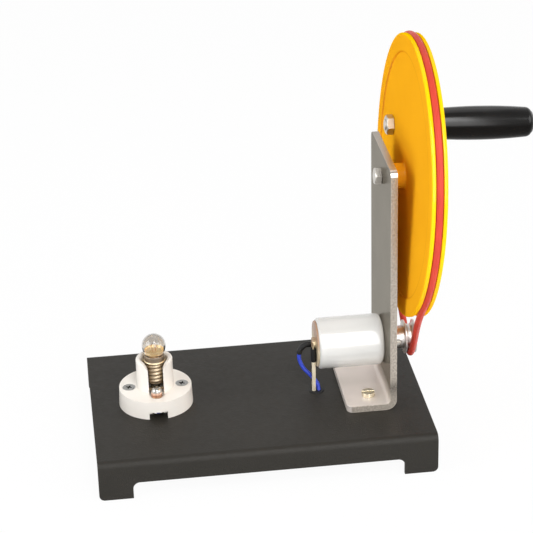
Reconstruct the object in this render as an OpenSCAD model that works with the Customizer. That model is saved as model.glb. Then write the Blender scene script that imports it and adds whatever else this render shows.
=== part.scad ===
// Hand-cranked demonstration dynamo. A grooved wheel drives a small
// permanent-magnet machine through a round belt, and the machine lights a lamp.
// X runs to the right along the base, Y to the rear and Z up from the table.

/* [Base] */
// Length of the folded base along X
base_l = 150; // [140:1:180]
// Depth of the base along Y
base_w = 100; // [90:1:130]
// Height of the base's top above the table
base_h = 18.5; // [17:0.5:24]
// Thickness of the base's sheet
base_sheet = 1.6; // [1:0.1:2]
// Outer radius of the base's two folds
base_fold_r = 3.2; // [2.5:0.1:5]
// Width of each leg along X
leg_w = 15; // [10:0.5:20]
// Height of the gap between two legs
leg_gap_h = 7.8; // [5:0.1:9]
// Radius in the upper corners of the gap
leg_gap_r = 3; // [1:0.5:4]
// Radius of the legs' outer lower corners
leg_toe_r = 2.5; // [1:0.5:4]

/* [Bracket] */
// Thickness of the bracket's plate
bracket_t = 3; // [2:0.1:4]
// Width of the bracket along Y
bracket_w = 49; // [40:1:60]
// Height of the upright above the wheel's axle
bracket_above = 12; // [8:0.5:20]
// Length of the foot along X, with the upright's thickness
bracket_foot_l = 22.4; // [19:0.2:26]
// Outer radius of the bracket's bend
bracket_bend_r = 4.7; // [4.2:0.1:6]
// Radius of the bracket's free corners
bracket_corner_r = 3; // [0.5:0.5:4]
// Distance from the base's right edge to the upright's right face
bracket_inset = 14; // [10:0.5:20]
// Distance from the foot's free end to its screws
foot_screw_in = 11; // [6:0.5:12]
// Distance of the foot's front screw from the bracket's middle
front_foot_screw = 15; // [12:0.5:18]
// Distance of the foot's rear screw from the bracket's middle
rear_foot_screw = 18.5; // [12:0.5:19]

/* [Wheel and crank] */
// Diameter of the wheel over its rim
wheel_d = 124.4; // [110:0.2:128]
// Width of the wheel's rim along X
wheel_w = 6.8; // [6.6:0.1:8]
// Height of the wheel's axle above the base's top
wheel_up = 104; // [98:0.1:110]
// Lean of the axle in degrees: its right end sits lower than its left end
axle_lean = 3; // [0:0.5:4]
// Diameter of the shallow recess in each face of the wheel
wheel_recess_d = 108; // [90:1:110]
// Depth of that recess
wheel_recess = 0.6; // [0.4:0.1:1.4]
// Diameter of the wheel's hub
hub_d = 11; // [10:0.2:16]
// Diameter of the axle bolt
axle_d = 4; // [3:0.1:4.6]
// Outer diameter of the bush that the wheel runs on
bush_d = 6; // [5.6:0.1:7]
// Radius at which the crank bolt sits on the wheel
crank_r = 32.1; // [20:0.1:40]
// Angle of the crank at rest, from the rear upwards
crank_angle = 22; // [0:1:90]
// Diameter of the crank bolt's thread
crank_thread_d = 5; // [4:0.1:5.4]
// Diameter of the crank bolt's shank, which the grip runs on
crank_shank_d = 6; // [5.6:0.1:7]
// Length of the grip
grip_l = 57; // [45:1:75]
// Diameter of the grip's inner end
grip_d_inner = 11.4; // [11:0.2:14]
// Largest diameter of the grip
grip_d_max = 15.4; // [14.4:0.2:20]
// Diameter of the grip's outer end
grip_d_outer = 13; // [12.6:0.2:14.4]
// Share of the grip's length at which it is widest
grip_belly = 0.58; // [0.4:0.02:0.7]

/* [Belt and pulley] */
// Diameter of the round belt
belt_d = 3; // [2:0.1:3.4]
// Distance from the upright's right face to the belt's plane
belt_out = 9.9; // [9:0.1:13]
// How far the belt stands proud of the wheel's rim
belt_proud = 0.8; // [0.4:0.1:1.2]
// Radius of the belt's centre line on the pulley
belt_pulley_r = 7.5; // [6.6:0.1:9]
// Diameter of the pulley's flanges
pulley_flange_d = 15.4; // [14:0.2:19]
// Width of the pulley's grooved part
pulley_w = 5; // [4.6:0.1:7]
// Diameter of the pulley's boss
pulley_boss_d = 10.4; // [8:0.2:11]

/* [Generator] */
// Height of the generator's axis above the base's top
motor_up = 23.5; // [19:0.5:28]
// Outer diameter of the white sleeve
sleeve_d = 23.4; // [22:0.2:26]
// Length of the sleeve
sleeve_l = 29.7; // [28:0.1:34]
// Wall of the sleeve
sleeve_wall = 1.2; // [0.8:0.1:1.6]
// Radius of the sleeve's rounded end at the end cap
sleeve_edge_r = 1.1; // [0.3:0.1:1.5]
// Radius of the sleeve's rounded end at the bracket
sleeve_front_r = 2.4; // [1.2:0.1:2.6]
// Wall of the steel can
can_wall = 0.8; // [0.5:0.1:1.2]
// Diameter of the generator's shaft
shaft_d = 2; // [1.5:0.1:2.6]
// Diameter of the can's front boss
boss_d = 6; // [5.4:0.2:8]
// Thickness of the two magnets
magnet_t = 1.8; // [1.2:0.1:2.2]
// Angle that each magnet covers
magnet_arc = 120; // [90:5:150]
// Length of the armature's core
core_l = 10; // [8:0.5:12]
// Width of an armature arm
arm_w = 2.6; // [2:0.1:3.2]
// Diameter of the commutator
commutator_d = 5; // [4.6:0.1:6]
// Spacing of the two screws that hold the generator, along Y
motor_screw_pitch = 16; // [15:0.5:17]

/* [Lamp holder] */
// Distance of the lamp from the base's left edge
lamp_inset = 29.5; // [24:0.5:40]
// Distance of the lamp from the base's middle along Y, to the rear
lamp_rear = 1; // [-10:0.5:10]
// Diameter of the holder's disc at the base
holder_d = 33.6; // [32:0.2:40]
// How much the disc's radius narrows to its top
holder_draft = 0.4; // [0:0.1:1]
// Height of the holder's disc
holder_h = 8.4; // [7.6:0.1:12]
// Outer diameter of the holder's tower
tower_d = 16.6; // [16:0.2:18]
// Bore of the tower
tower_bore_d = 12; // [11.8:0.1:12.8]
// Height of the tower above the disc
tower_h = 14.5; // [12:0.5:16]
// Width of the tower's front slot
slot_w = 6.8; // [6:0.1:8]
// Radius of the slot's flare at the top
slot_flare_r = 4; // [1:0.5:5]
// Depth of the terminal recesses in the disc's top
recess_d = 1.2; // [1:0.1:1.6]
// Distance of the two fixing screws from the lamp's axis
holder_screw_r = 12; // [11.4:0.1:12.6]
// Width of the lead notch in the disc's front
notch_w = 8.3; // [6:0.1:10]
// Height of that notch
notch_h = 3.4; // [2:0.1:4]
// Distance of the front terminal from the lamp's axis
front_terminal = 8.7; // [8.7:0.1:10]
// Distance of the rear terminal from the lamp's axis
rear_terminal = 12.4; // [12:0.1:13]

/* [Lamp] */
// Crest diameter of the lamp's screw cap
cap_crest_d = 9.5; // [9:0.1:9.7]
// Depth of the cap's thread
cap_thread = 0.5; // [0.3:0.05:0.6]
// Pitch of the cap's thread
cap_pitch = 1.81; // [1.5:0.01:2]
// Number of thread turns
cap_turns = 5; // [4:1:6]
// Diameter of the glass globe
globe_d = 10.8; // [10:0.2:14]
// Height of the globe's middle above the lamp's tip
globe_up = 20.3; // [19:0.1:24]
// Wall of the glass
glass_wall = 0.5; // [0.3:0.1:0.8]

/* [Fits] */
// Radial running fit of a turning piece on its shaft or bush
run_fit = 0.05; // [0.02:0.01:0.1]
// Radial clearance of a screw in its hole
hole_fit = 0.2; // [0.1:0.05:0.4]
// Radial gap of a piece that is fixed in another
seat_fit = 0.05; // [0.03:0.01:0.1]
// End play of the wheel and the grip
end_play = 0.2; // [0.1:0.05:0.4]
// Gap between the belt and a groove
belt_fit = 0.4; // [0.35:0.05:0.5]
// Air gap of the armature
air_gap = 0.4; // [0.3:0.05:0.6]

/* [Hidden] */
$fn = 72;
eps = 0.01;
over = 1;

// Main planes and axes, measured from the middle of the base
top_z = base_h;
plate_z = base_h - base_sheet;
bracket_h = wheel_up + bracket_above;
upright_x1 = base_l / 2 - bracket_inset;
upright_x0 = upright_x1 - bracket_t;
axle_z = top_z + wheel_up;
motor_z = top_z + motor_up;
belt_x = upright_x1 + belt_out;
wheel_x0 = belt_x - wheel_w / 2;
wheel_x1 = belt_x + wheel_w / 2;
crank_y = crank_r * cos(crank_angle);
crank_z = axle_z + crank_r * sin(crank_angle);
lamp_x = lamp_inset - base_l / 2;
lamp_y = lamp_rear;

// Sheet-metal fasteners with a 3 mm thread, shared by the foot and the holder
m3_d = 3;
m3_head_d = 6;
m3_head_h = 2;
m3_nut_af = 5.5;
m3_nut_h = 2.4;
m3_washer_d = 7;
m3_washer_t = 0.5;
m3_spare = 0.8;
screw_slot_w = 0.8;
screw_slot_depth = 0.8;
cross_w = 0.8;
cross_depth = 1;
cross_turn = 24;
foot_screw_x = upright_x1 - bracket_foot_l + foot_screw_in;
foot_screw_ys = [-front_foot_screw, rear_foot_screw];

// Axle, from its hex head on the bracket's left to its nut on the wheel's right.
// It leans about the middle of the upright's thickness, so that the head and the
// first washer each touch the upright at one side.
axle_head_af = axle_d * 1.75;
axle_head_h = axle_d * 0.7;
axle_head_turn = 11;
axle_washer_d = bush_d + 3;
axle_washer_t = 0.8;
axle_nut_h = axle_d * 0.8;
axle_spare = 1;
hub_proud = 0.6;
nut_corner = 0.96;
pivot_x = upright_x1 - bracket_t / 2;
axle_half = bracket_t / 2 / cos(axle_lean);
axle_head_x = pivot_x - axle_half - axle_head_af / 2 / cos(30) * tan(axle_lean);
axle_seat_x = pivot_x + axle_half + axle_washer_d / 2 * tan(axle_lean);
bush_x0 = axle_seat_x + axle_washer_t;
hub_x0 = bush_x0 + end_play;
hub_x1 = wheel_x1 + hub_proud;
bush_x1 = hub_x1 + end_play;
axle_nut_x = bush_x1 + axle_washer_t;
axle_x1 = axle_nut_x + axle_nut_h + axle_spare;

// Crank bolt, from its nut in the left recess to its head in the grip's outer end
crank_nut_af = crank_thread_d * 1.6;
crank_nut_h = crank_thread_d * 0.66;
crank_nut_turn = 32;
crank_spare = 0.5;
crank_washer_d = grip_d_inner - 0.8;
crank_washer_t = 1;
crank_head_d = crank_shank_d + 3;
crank_head_h = 3;
crank_head_sunk = 0.6;
crank_floor_x0 = wheel_x0 + wheel_recess;
crank_floor_x1 = wheel_x1 - wheel_recess;
grip_x0 = crank_floor_x1 + crank_washer_t + end_play;
grip_x1 = grip_x0 + grip_l;
crank_head_x0 = grip_x1 - crank_head_sunk - crank_head_h;
grip_edge_r = 3;
grip_steps = 16;
grip_edge_step = 15;

// Belt loop round the leaning wheel and the upright pulley
belt_wheel_r = wheel_d / 2 + belt_proud - belt_d / 2;
belt_centre_x = pivot_x + (belt_x - pivot_x) * cos(axle_lean);
belt_centre_z = axle_z - (belt_x - pivot_x) * sin(axle_lean);
belt_tilt = asin((belt_wheel_r - belt_pulley_r) / (belt_centre_z - motor_z));
belt_sides = 12;
belt_wheel_steps = 48;
belt_pulley_steps = 12;
belt_strand_steps = 8;
groove_flare = 30;
groove_r = belt_d / 2 + belt_fit;

// Generator, from its end cap on the left to the bracket on the right
sleeve_x0 = upright_x0 - sleeve_l;
can_d = sleeve_d - 2 * sleeve_wall - 2 * seat_fit;
can_bore_d = can_d - 2 * can_wall;
can_edge_r = 0.8 * sleeve_front_r;
can_front = 1;
cap_flange_t = 2.2;
cap_proud = 0.5;
cap_x0 = sleeve_x0 - cap_proud;
can_x0 = cap_x0 + cap_flange_t;
cap_spigot_l = 3;
cap_spigot_wall = 1.5;
cap_boss_d = 6;
cap_boss_l = 1.4;
boss_l = 2;
bearing_wall = 1;
bearing_d = shaft_d + 2 * bearing_wall;
bearing_l = 3.4;
front_bearing_x1 = upright_x0 + boss_l;
rear_bearing_x0 = cap_x0 - cap_boss_l;
shaft_in = 0.4;
shaft_x0 = rear_bearing_x0 + shaft_in;
magnet_over = 2;
magnet_l = core_l + 2 * magnet_over;
magnet_r1 = can_bore_d / 2 - seat_fit;
magnet_r0 = magnet_r1 - magnet_t;
core_r = magnet_r0 - air_gap;
core_hub_wall = 1.6;
core_hub_r = shaft_d / 2 + core_hub_wall;
shoe_t = 1.4;
shoe_arc = 96;
winding_end = 1.5;
winding_side = 1.3;
winding_fit = 0.15;
core_room = 2;
core_x1 = upright_x0 - can_front - winding_end - core_room;
core_x0 = core_x1 - core_l;
commutator_l = 5;
commutator_room = 1;
commutator_over = 0.6;
commutator_x1 = core_x0 - winding_end - commutator_room;
commutator_x0 = commutator_x1 - commutator_l;
commutator_gap = 6;
commutator_wall = 0.8;
brush_w = 1.6;
brush_h = 2;
brush_fit = 0.05;
brush_x = (commutator_x0 + commutator_x1) / 2;
terminal_w = 1.4;
terminal_t = 0.5;
terminal_out = 1.8;
terminal_drop = 4;
terminal_r = 5.1;
terminal_angle = 60;
motor_screw_d = 2;
motor_screw_head_d = 3.8;
motor_screw_head_h = 1.4;
motor_screw_spare = 1;
motor_screw_l = bracket_t + can_front + motor_screw_spare;

// Pulley on the shaft's right end
pulley_x0 = belt_x - pulley_w / 2;
pulley_x1 = belt_x + pulley_w / 2;
pulley_room = 1;
pulley_boss_x0 = upright_x1 + pulley_room;
pulley_screw_d = 3;
pulley_screw_x = (pulley_boss_x0 + pulley_x0) / 2;
pulley_screw_sunk = 0.3;
shaft_out = 0.5;
shaft_x1 = pulley_x1 + shaft_out;

// Lamp holder and its contacts
disc_z = top_z + holder_h;
floor_z = disc_z - recess_d;
tower_z = disc_z + tower_h;
strip_t = 0.6;
strip_w = 4;
strip_z = floor_z + strip_t;
socket_d = tower_bore_d - 2 * seat_fit;
socket_wall = 0.6;
socket_lift = 1;
socket_ring = 1.2;
socket_top_gap = 3;
socket_slot_side = 0.3;
socket_z0 = strip_z + socket_lift;
socket_z1 = tower_z - socket_top_gap;
riser_t = socket_wall - 0.1;
riser_in = 0.05;
riser_w = 2.2;
strip_end = 2.4;
strip_button = 2;
terminal_screw_d = 2.5;
terminal_head_d = 5;
terminal_side_h = 2.3;
terminal_dome_h = 2.1;
terminal_nut_af = 5;
terminal_nut_h = 1.6;
terminal_pocket_d = 7.4;
terminal_pocket_h = 3;
terminal_nut_z = top_z + terminal_pocket_h - terminal_nut_h;
terminal_clear = 0.9;
terminal_end_z = top_z + terminal_clear;
recess_spare = 0.7;
recess_end = front_terminal + slot_w / 2 + recess_spare;
notch_spare = 1;
csk_d = 5.8;
csk_h = 1.6;

// Lamp, upwards from its tip on the centre contact
button_h = 0.7;
tip_z = strip_z + button_h;
tip_h = 0.8;
tip_d = 3.2;
tip_taper = 0.75;
insulator_z = tip_z + tip_h;
insulator_h = 1.9;
insulator_step = 0.4;
shell_wall = 0.3;
cap_z = insulator_z + insulator_h;
cap_thread_h = (cap_turns + 0.4) * cap_pitch;
cap_root_r = cap_crest_d / 2 - cap_thread;
cap_bore_r = cap_root_r - shell_wall;
bead_r = cap_crest_d / 2;
bead_h = 0.9;
bead_round = 0.15;
collar_h = 3.6;
cap_h = cap_thread_h + collar_h;
cap_top_z = cap_z + cap_h;
cap_sides = 24;
cap_samples = 6;
globe_z = tip_z + globe_up;
neck_fit = 0.2;
neck_r = cap_bore_r - neck_fit;
neck_in = 5;
neck_z = cap_top_z - neck_in;
shoulder_r = cap_root_r + shell_wall;
shoulder_z = cap_top_z + neck_fit / 2;
stem_r = 1.3;
stem_below = 3.4;
stem_z1 = globe_z - stem_below;
support_d = 0.4;
support_half = 0.7;
filament_up = 0.6;
support_z1 = globe_z + filament_up;
filament_d = 0.3;
filament_l = 1.8;

// The two leads, from their tabs down the hole, under the base and up to the lamp holder
lead_d = 1.8;
lead_sides = 8;
lead_sleeve_wall = 0.35;
lead_sleeve_fit = 0.06;
lead_sleeve_over = 1.5;
lead_steps = 2;
lead_gap = 0.1;
tab_x = cap_x0 - terminal_out - lead_gap;
tab_y = terminal_r * sin(terminal_angle);
tab_up = terminal_r * cos(terminal_angle);
front_tab_z = motor_z + tab_up - terminal_drop - lead_gap;
rear_tab_z = motor_z - tab_up;
lead_hole_d = 5.4;
lead_hole_x = tab_x + 1.8;
lead_hole_y = -1.5;
lead_under = 3.3;
lead_turn_r = lead_under + 0.5;
lead_rise_r = 4.2;
lead_bow = 1.7;
run_z = plate_z - lead_under;
white_turn_y = 1;
white_beside = 0.6;
blue_turn_y = -4.6;
blue_beside = 2.9;
blue_loop = 5.2;

// A point on a lead's way down: its distance beside the tab, at a share of the fall
function falling(y, z, beside, share) =
    [tab_x + beside, y + (lead_hole_y - y) * min(1, share ^ 2), z + (top_z - z) * share];
// The turn below the base's sheet, from the hole into the run
function turning(x, y) = [
    for (a = [30, 60, 90]) [
        x - lead_turn_r * (1 - cos(a)),
        lead_hole_y + (y - lead_hole_y) * a / 90,
        run_z + lead_turn_r * (1 - sin(a))
    ]
];
// The run under the base, which bows to its terminal's side, and the rise to the terminal
function running(x, y0, y1) = concat(
    [for (share = [0.15, 0.36, 0.6, 0.84]) [
        x + (lamp_x + lead_rise_r - x) * share,
        y0 + (y1 - y0) * (1 - (1 - share) ^ lead_bow),
        run_z
    ]],
    [for (a = [0, 30, 60, 90])
        [lamp_x + lead_rise_r * (1 - sin(a)), y1, run_z + lead_rise_r * (1 - cos(a))]],
    let (z0 = run_z + lead_rise_r, z1 = terminal_end_z - lead_gap)
        [for (share = [0.5, 1]) [lamp_x, y1, z0 + (z1 - z0) * share]]
);
route_white = concat(
    [for (share = [0, 0.16, 0.32, 0.54, 0.77, 0.98])
        falling(-tab_y, front_tab_z, white_beside * (0.4 + 0.6 * share), share)],
    turning(tab_x + white_beside, white_turn_y),
    running(tab_x + white_beside - lead_turn_r, white_turn_y, lamp_y + rear_terminal)
);
route_blue = concat(
    [for (p = [[0, 0], [-0.45, 0.01], [-0.89, 0.12], [-1, 0.31], [-0.68, 0.52]])
        falling(tab_y, rear_tab_z, p[0] * blue_loop, p[1])],
    [for (p = [[-0.14, 0.69], [0.79, 0.85], [1, 1.02]])
        falling(tab_y, rear_tab_z, p[0] * blue_beside, p[1])],
    turning(tab_x + blue_beside, blue_turn_y),
    running(tab_x + blue_beside - lead_turn_r, blue_turn_y, lamp_y - front_terminal)
);
sleeve_rings_white = 5;
sleeve_rings_blue = 7;

// The frame's origin is under the middle of the whole length, on the table. The length
// ends at the leaning grip's outer face, whose flat part has the radius grip_flat_r.
grip_flat_r = grip_d_outer / 2 - grip_edge_r;
far_x = pivot_x + (grip_x1 - pivot_x) * cos(axle_lean)
    + (crank_z - axle_z + grip_flat_r) * sin(axle_lean);
shift_x = -(far_x - base_l / 2) / 2;

// Places a piece that is drawn from the middle of the base in the part's frame
module placed() {
    translate([shift_x, 0, 0]) children();
}

// Stands a piece that is drawn along Z on a point, along X
module along_x(x, y, z) {
    translate([x, y, z]) rotate([0, 90, 0]) children();
}

// Leans a piece that is drawn on a level axle
module on_axle() {
    translate([pivot_x, 0, axle_z]) rotate([0, axle_lean, 0]) translate([-pivot_x, 0, -axle_z]) children();
}

// Draws a piece about the lamp's axis
module at_lamp() {
    translate([lamp_x, lamp_y, 0]) children();
}

// Rectangle standing on the X axis, with its two upper corners rounded
module shouldered(w, h, r) {
    translate([-w / 2, 0]) square([w, h - r]);
    translate([-w / 2 + r, 0]) square([w - 2 * r, h]);
    for (side = [-1, 1]) translate([side * (w / 2 - r), h - r]) circle(r);
}

module ring(d_outer, d_inner, h) {
    difference() {
        cylinder(d = d_outer, h = h);
        translate([0, 0, -over]) cylinder(d = d_inner, h = h + 2 * over);
    }
}

// Hexagon with the given width across its flats
module hex(af, h) {
    cylinder(d = af / cos(30), h = h, $fn = 6);
}

// Hex nut with its upper corners turned off by a cone
module nut(af, bore, h) {
    difference() {
        intersection() {
            hex(af, h);
            cylinder(d1 = af * nut_corner + 2 * h, d2 = af * nut_corner, h = h);
        }
        translate([0, 0, -over]) cylinder(d = bore, h = h + 2 * over);
    }
}

// Cut for a straight screwdriver, down from the given height
module driver_slot(d, z) {
    translate([-d, -screw_slot_w / 2, z - screw_slot_depth]) cube([2 * d, screw_slot_w, 2 * over]);
}

// Cut for a cross screwdriver with the given span, down from the given height
module cross_recess(span, z) {
    for (turn = [-cross_turn, 90 - cross_turn]) rotate([0, 0, turn])
        translate([-span / 2, -cross_w / 2, z - cross_depth]) cube([span, cross_w, 2 * over]);
}

module base_blank() {
    rotate([90, 0, 90]) linear_extrude(base_l, center = true) difference() {
        shouldered(base_w, base_h, base_fold_r);
        translate([0, -over]) shouldered(base_w - 2 * base_sheet, plate_z + over, base_fold_r - base_sheet);
    }
}

module leg_gap() {
    rotate([90, 0, 0]) linear_extrude(base_w + 2 * over, center = true) {
        shouldered(base_l - 2 * leg_w, leg_gap_h, leg_gap_r);
        translate([-base_l / 2 + leg_w, -over]) square([base_l - 2 * leg_w, 2 * over]);
    }
}

module toe_rounding(side) {
    rotate([90, 0, 0]) linear_extrude(base_w + 2 * over, center = true) difference() {
        translate([side * base_l / 2 - leg_toe_r, -leg_toe_r]) square(2 * leg_toe_r);
        translate([side * (base_l / 2 - leg_toe_r), leg_toe_r]) circle(leg_toe_r);
        translate([side * (base_l / 2 - 2 * leg_toe_r) - leg_toe_r, -leg_toe_r]) square(2 * leg_toe_r);
    }
}

module plate_hole(x, y, d) {
    translate([x, y, plate_z - over]) cylinder(d = d, h = base_sheet + 2 * over);
}

// Folded sheet with a flange at the front and at the rear, cut out between the legs
module base() {
    color([0.17, 0.16, 0.15]) placed() difference() {
        base_blank();
        leg_gap();
        for (side = [-1, 1]) {
            toe_rounding(side);
            plate_hole(lamp_x + side * holder_screw_r, lamp_y, m3_d + 2 * hole_fit);
        }
        for (y = foot_screw_ys) plate_hole(foot_screw_x, y, m3_d + 2 * hole_fit);
        plate_hole(lead_hole_x, lead_hole_y, lead_hole_d);
        plate_hole(lamp_x, lamp_y - front_terminal, lead_hole_d);
        plate_hole(lamp_x, lamp_y + rear_terminal, lead_hole_d);
    }
}

// Outline of the bent plate, seen from the front, with its outer corner at the origin
module bracket_outline() {
    translate([-bracket_t, bracket_bend_r]) square([bracket_t, bracket_h - bracket_bend_r]);
    translate([-bracket_foot_l, 0]) square([bracket_foot_l - bracket_bend_r, bracket_t]);
    intersection() {
        translate([-bracket_bend_r, bracket_bend_r]) difference() {
            circle(bracket_bend_r);
            circle(bracket_bend_r - bracket_t);
        }
        translate([-bracket_bend_r, 0]) square(bracket_bend_r);
    }
}

// Angle bracket that carries the axle and the generator
module bracket() {
    color([0.6, 0.58, 0.55]) placed() translate([upright_x1, 0, top_z]) difference() {
        intersection() {
            rotate([90, 0, 0]) linear_extrude(bracket_w, center = true) bracket_outline();
            rotate([90, 0, 90]) linear_extrude(2 * bracket_foot_l, center = true)
                shouldered(bracket_w, bracket_h, bracket_corner_r);
            rotate([0, 0, 90]) linear_extrude(bracket_h)
                shouldered(bracket_w, bracket_foot_l, bracket_corner_r);
        }
        along_x(-bracket_t - over, 0, wheel_up) cylinder(d = axle_d + 2 * hole_fit, h = bracket_t + 2 * over);
        along_x(-bracket_t - over, 0, motor_up) cylinder(d = boss_d + 2 * seat_fit, h = bracket_t + 2 * over);
        for (side = [-1, 1]) along_x(-bracket_t - over, side * motor_screw_pitch / 2, motor_up)
            cylinder(d = motor_screw_d + 2 * hole_fit, h = bracket_t + 2 * over);
        for (y = foot_screw_ys) translate([foot_screw_in - bracket_foot_l, y, -over])
            cylinder(d = m3_d + 2 * hole_fit, h = bracket_t + 2 * over);
    }
}

module at_foot_screws() {
    for (y = foot_screw_ys) translate([foot_screw_x, y, 0]) children();
}

module at_holder_screws() {
    for (side = [-1, 1]) translate([lamp_x + side * holder_screw_r, lamp_y, 0]) children();
}

// Cheese-head screws through the foot and the base
module bracket_screws() {
    head_z = top_z + bracket_t;
    end_z = plate_z - m3_washer_t - m3_nut_h - m3_spare;
    color([0.82, 0.78, 0.66]) placed() at_foot_screws() difference() {
        union() {
            translate([0, 0, head_z]) cylinder(d = m3_head_d, h = m3_head_h);
            translate([0, 0, end_z]) cylinder(d = m3_d, h = head_z - end_z);
        }
        driver_slot(m3_head_d, head_z + m3_head_h);
    }
}

module bracket_washers() {
    color([0.75, 0.75, 0.73]) placed() at_foot_screws()
        translate([0, 0, plate_z - m3_washer_t]) ring(m3_washer_d, m3_d + 2 * hole_fit, m3_washer_t);
}

module m3_nut_below(z) {
    translate([0, 0, z]) mirror([0, 0, 1]) nut(m3_nut_af, m3_d + 2 * seat_fit, m3_nut_h);
}

module bracket_nuts() {
    color([0.72, 0.72, 0.7]) placed() at_foot_screws() m3_nut_below(plate_z - m3_washer_t);
}

// Hex bolt that clamps the bush to the bracket
module axle_bolt() {
    corner_d = axle_head_af * nut_corner;
    color([0.78, 0.76, 0.72]) placed() on_axle() along_x(axle_head_x, 0, axle_z) {
        mirror([0, 0, 1]) intersection() {
            rotate(axle_head_turn) hex(axle_head_af, axle_head_h);
            cylinder(d1 = corner_d + 2 * axle_head_h, d2 = corner_d, h = axle_head_h);
        }
        cylinder(d = axle_d, h = axle_x1 - axle_head_x);
    }
}

module axle_washers() {
    color([0.75, 0.75, 0.73]) placed() on_axle() for (x = [axle_seat_x, bush_x1])
        along_x(x, 0, axle_z) ring(axle_washer_d, axle_d + 2 * hole_fit, axle_washer_t);
}

// Steel bush between the two washers, which the wheel turns on
module axle_bush() {
    color([0.66, 0.66, 0.65]) placed() on_axle()
        along_x(bush_x0, 0, axle_z) ring(bush_d, axle_d + 2 * seat_fit, bush_x1 - bush_x0);
}

module axle_nut() {
    color([0.78, 0.76, 0.72]) placed() on_axle()
        along_x(axle_nut_x, 0, axle_z) nut(axle_head_af, axle_d + 2 * seat_fit, axle_nut_h);
}

// Points of the belt's centre line at an angle round the wheel and round the pulley
function on_wheel(a) = [
    belt_centre_x + belt_wheel_r * sin(a) * sin(axle_lean),
    belt_wheel_r * cos(a),
    belt_centre_z + belt_wheel_r * sin(a) * cos(axle_lean)
];
function on_pulley(a) = [belt_x, belt_pulley_r * cos(a), motor_z + belt_pulley_r * sin(a)];

// Point of a strand at a share of its run from the wheel to the pulley. It leaves
// the wheel in the wheel's plane and eases across to the pulley's plane.
function on_strand(a, share) = let (
    p = on_wheel(a) * (1 - share) + on_pulley(a) * share,
    ease = share ^ 2 * (3 - 2 * share),
    plane_x = belt_centre_x + (p[2] - belt_centre_z) * tan(axle_lean)
) [plane_x * (1 - ease) + belt_x * ease, p[1], p[2]];

// The whole centre line: over the wheel, down the front, round the pulley, up the rear
belt_front = 180 + belt_tilt;
belt_rear = -belt_tilt;
belt_line = concat(
    [for (i = [0 : belt_wheel_steps]) on_wheel(belt_rear + i * (belt_front - belt_rear) / belt_wheel_steps)],
    [for (i = [1 : belt_strand_steps - 1]) on_strand(belt_front, i / belt_strand_steps)],
    [for (i = [0 : belt_pulley_steps])
        on_pulley(belt_front + i * (180 - 2 * belt_tilt) / belt_pulley_steps)],
    [for (i = [1 : belt_strand_steps - 1]) on_strand(belt_rear, 1 - i / belt_strand_steps)]
);

// Round belt: a tube along its closed centre line
module belt() {
    count = len(belt_line);
    color([0.86, 0.2, 0.17]) placed() polyhedron(
        points = [
            for (i = [0 : count - 1], k = [0 : belt_sides - 1])
                let (
                    t = unit(belt_line[(i + 1) % count] - belt_line[(i + count - 1) % count]),
                    n = square_to([1, 0, 0], t),
                    angle = 360 * k / belt_sides
                )
                belt_line[i] + belt_d / 2 * (cos(angle) * n + sin(angle) * cross(t, n))
        ],
        faces = [
            for (i = [0 : count - 1], k = [0 : belt_sides - 1], half = [0, 1])
                let (
                    a = i * belt_sides + k,
                    b = i * belt_sides + (k + 1) % belt_sides,
                    c = (b + belt_sides) % (count * belt_sides),
                    d = (a + belt_sides) % (count * belt_sides)
                )
                half == 0 ? [a, d, c] : [a, c, b]
        ]
    );
}

// Half section of a round body of radius r whose end at height z is rounded
module round_ended(r, z, edge) {
    square([r, z - edge]);
    square([r - edge, z]);
    translate([r - edge, z - edge]) circle(edge);
}

// White sleeve over the can, with rounded ends, drawn in over the can's edge
module motor_sleeve() {
    r = sleeve_d / 2;
    color([0.93, 0.93, 0.91]) placed() along_x(sleeve_x0, 0, motor_z) rotate_extrude() difference() {
        hull() {
            square([r - sleeve_front_r, sleeve_l]);
            translate([r - sleeve_edge_r, sleeve_edge_r]) circle(sleeve_edge_r);
            translate([r - sleeve_front_r, sleeve_l - sleeve_front_r]) circle(sleeve_front_r);
        }
        round_ended(r - sleeve_wall, sleeve_l, can_edge_r);
        translate([0, -over]) square([r - sleeve_wall, 2 * over]);
        translate([0, sleeve_l - over]) square([r - sleeve_wall - can_edge_r, 2 * over]);
    }
}

// Drawn steel can, open on the left, with a boss that centres it in the bracket
module motor_can() {
    can_l = upright_x0 - can_x0;
    color([0.7, 0.71, 0.72]) placed() along_x(can_x0, 0, motor_z) difference() {
        union() {
            rotate_extrude() round_ended(can_d / 2, can_l, can_edge_r);
            cylinder(d = boss_d, h = can_l + boss_l);
        }
        translate([0, 0, -over]) cylinder(d = can_bore_d, h = can_l - can_front + over);
        cylinder(d = bearing_d + 2 * seat_fit, h = can_l + boss_l + over);
        for (side = [-1, 1]) translate([0, side * motor_screw_pitch / 2, 0])
            cylinder(d = motor_screw_d + 2 * seat_fit, h = can_l + over);
    }
}

// Moulded end cap with a spigot in the can and a boss for the rear bearing
module motor_end_cap() {
    spigot_d = can_bore_d - 2 * seat_fit;
    color([0.86, 0.8, 0.66]) placed() along_x(cap_x0, 0, motor_z) difference() {
        union() {
            cylinder(d = can_d, h = cap_flange_t);
            cylinder(d = spigot_d, h = cap_flange_t + cap_spigot_l);
            translate([0, 0, -cap_boss_l]) cylinder(d = cap_boss_d, h = cap_boss_l + cap_flange_t);
        }
        translate([0, 0, cap_flange_t]) cylinder(d = spigot_d - 2 * cap_spigot_wall, h = cap_spigot_l + over);
        translate([0, 0, -cap_boss_l - over])
            cylinder(d = bearing_d + 2 * seat_fit, h = cap_boss_l + cap_flange_t + 2 * over);
        at_terminals() translate([0, 0, -over])
            linear_extrude(cap_flange_t + 2 * over)
                square([terminal_t + 2 * seat_fit, terminal_w + 2 * seat_fit], center = true);
    }
}

module bearing(x0) {
    along_x(x0, 0, motor_z) ring(bearing_d, shaft_d + 2 * run_fit, bearing_l);
}

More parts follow.
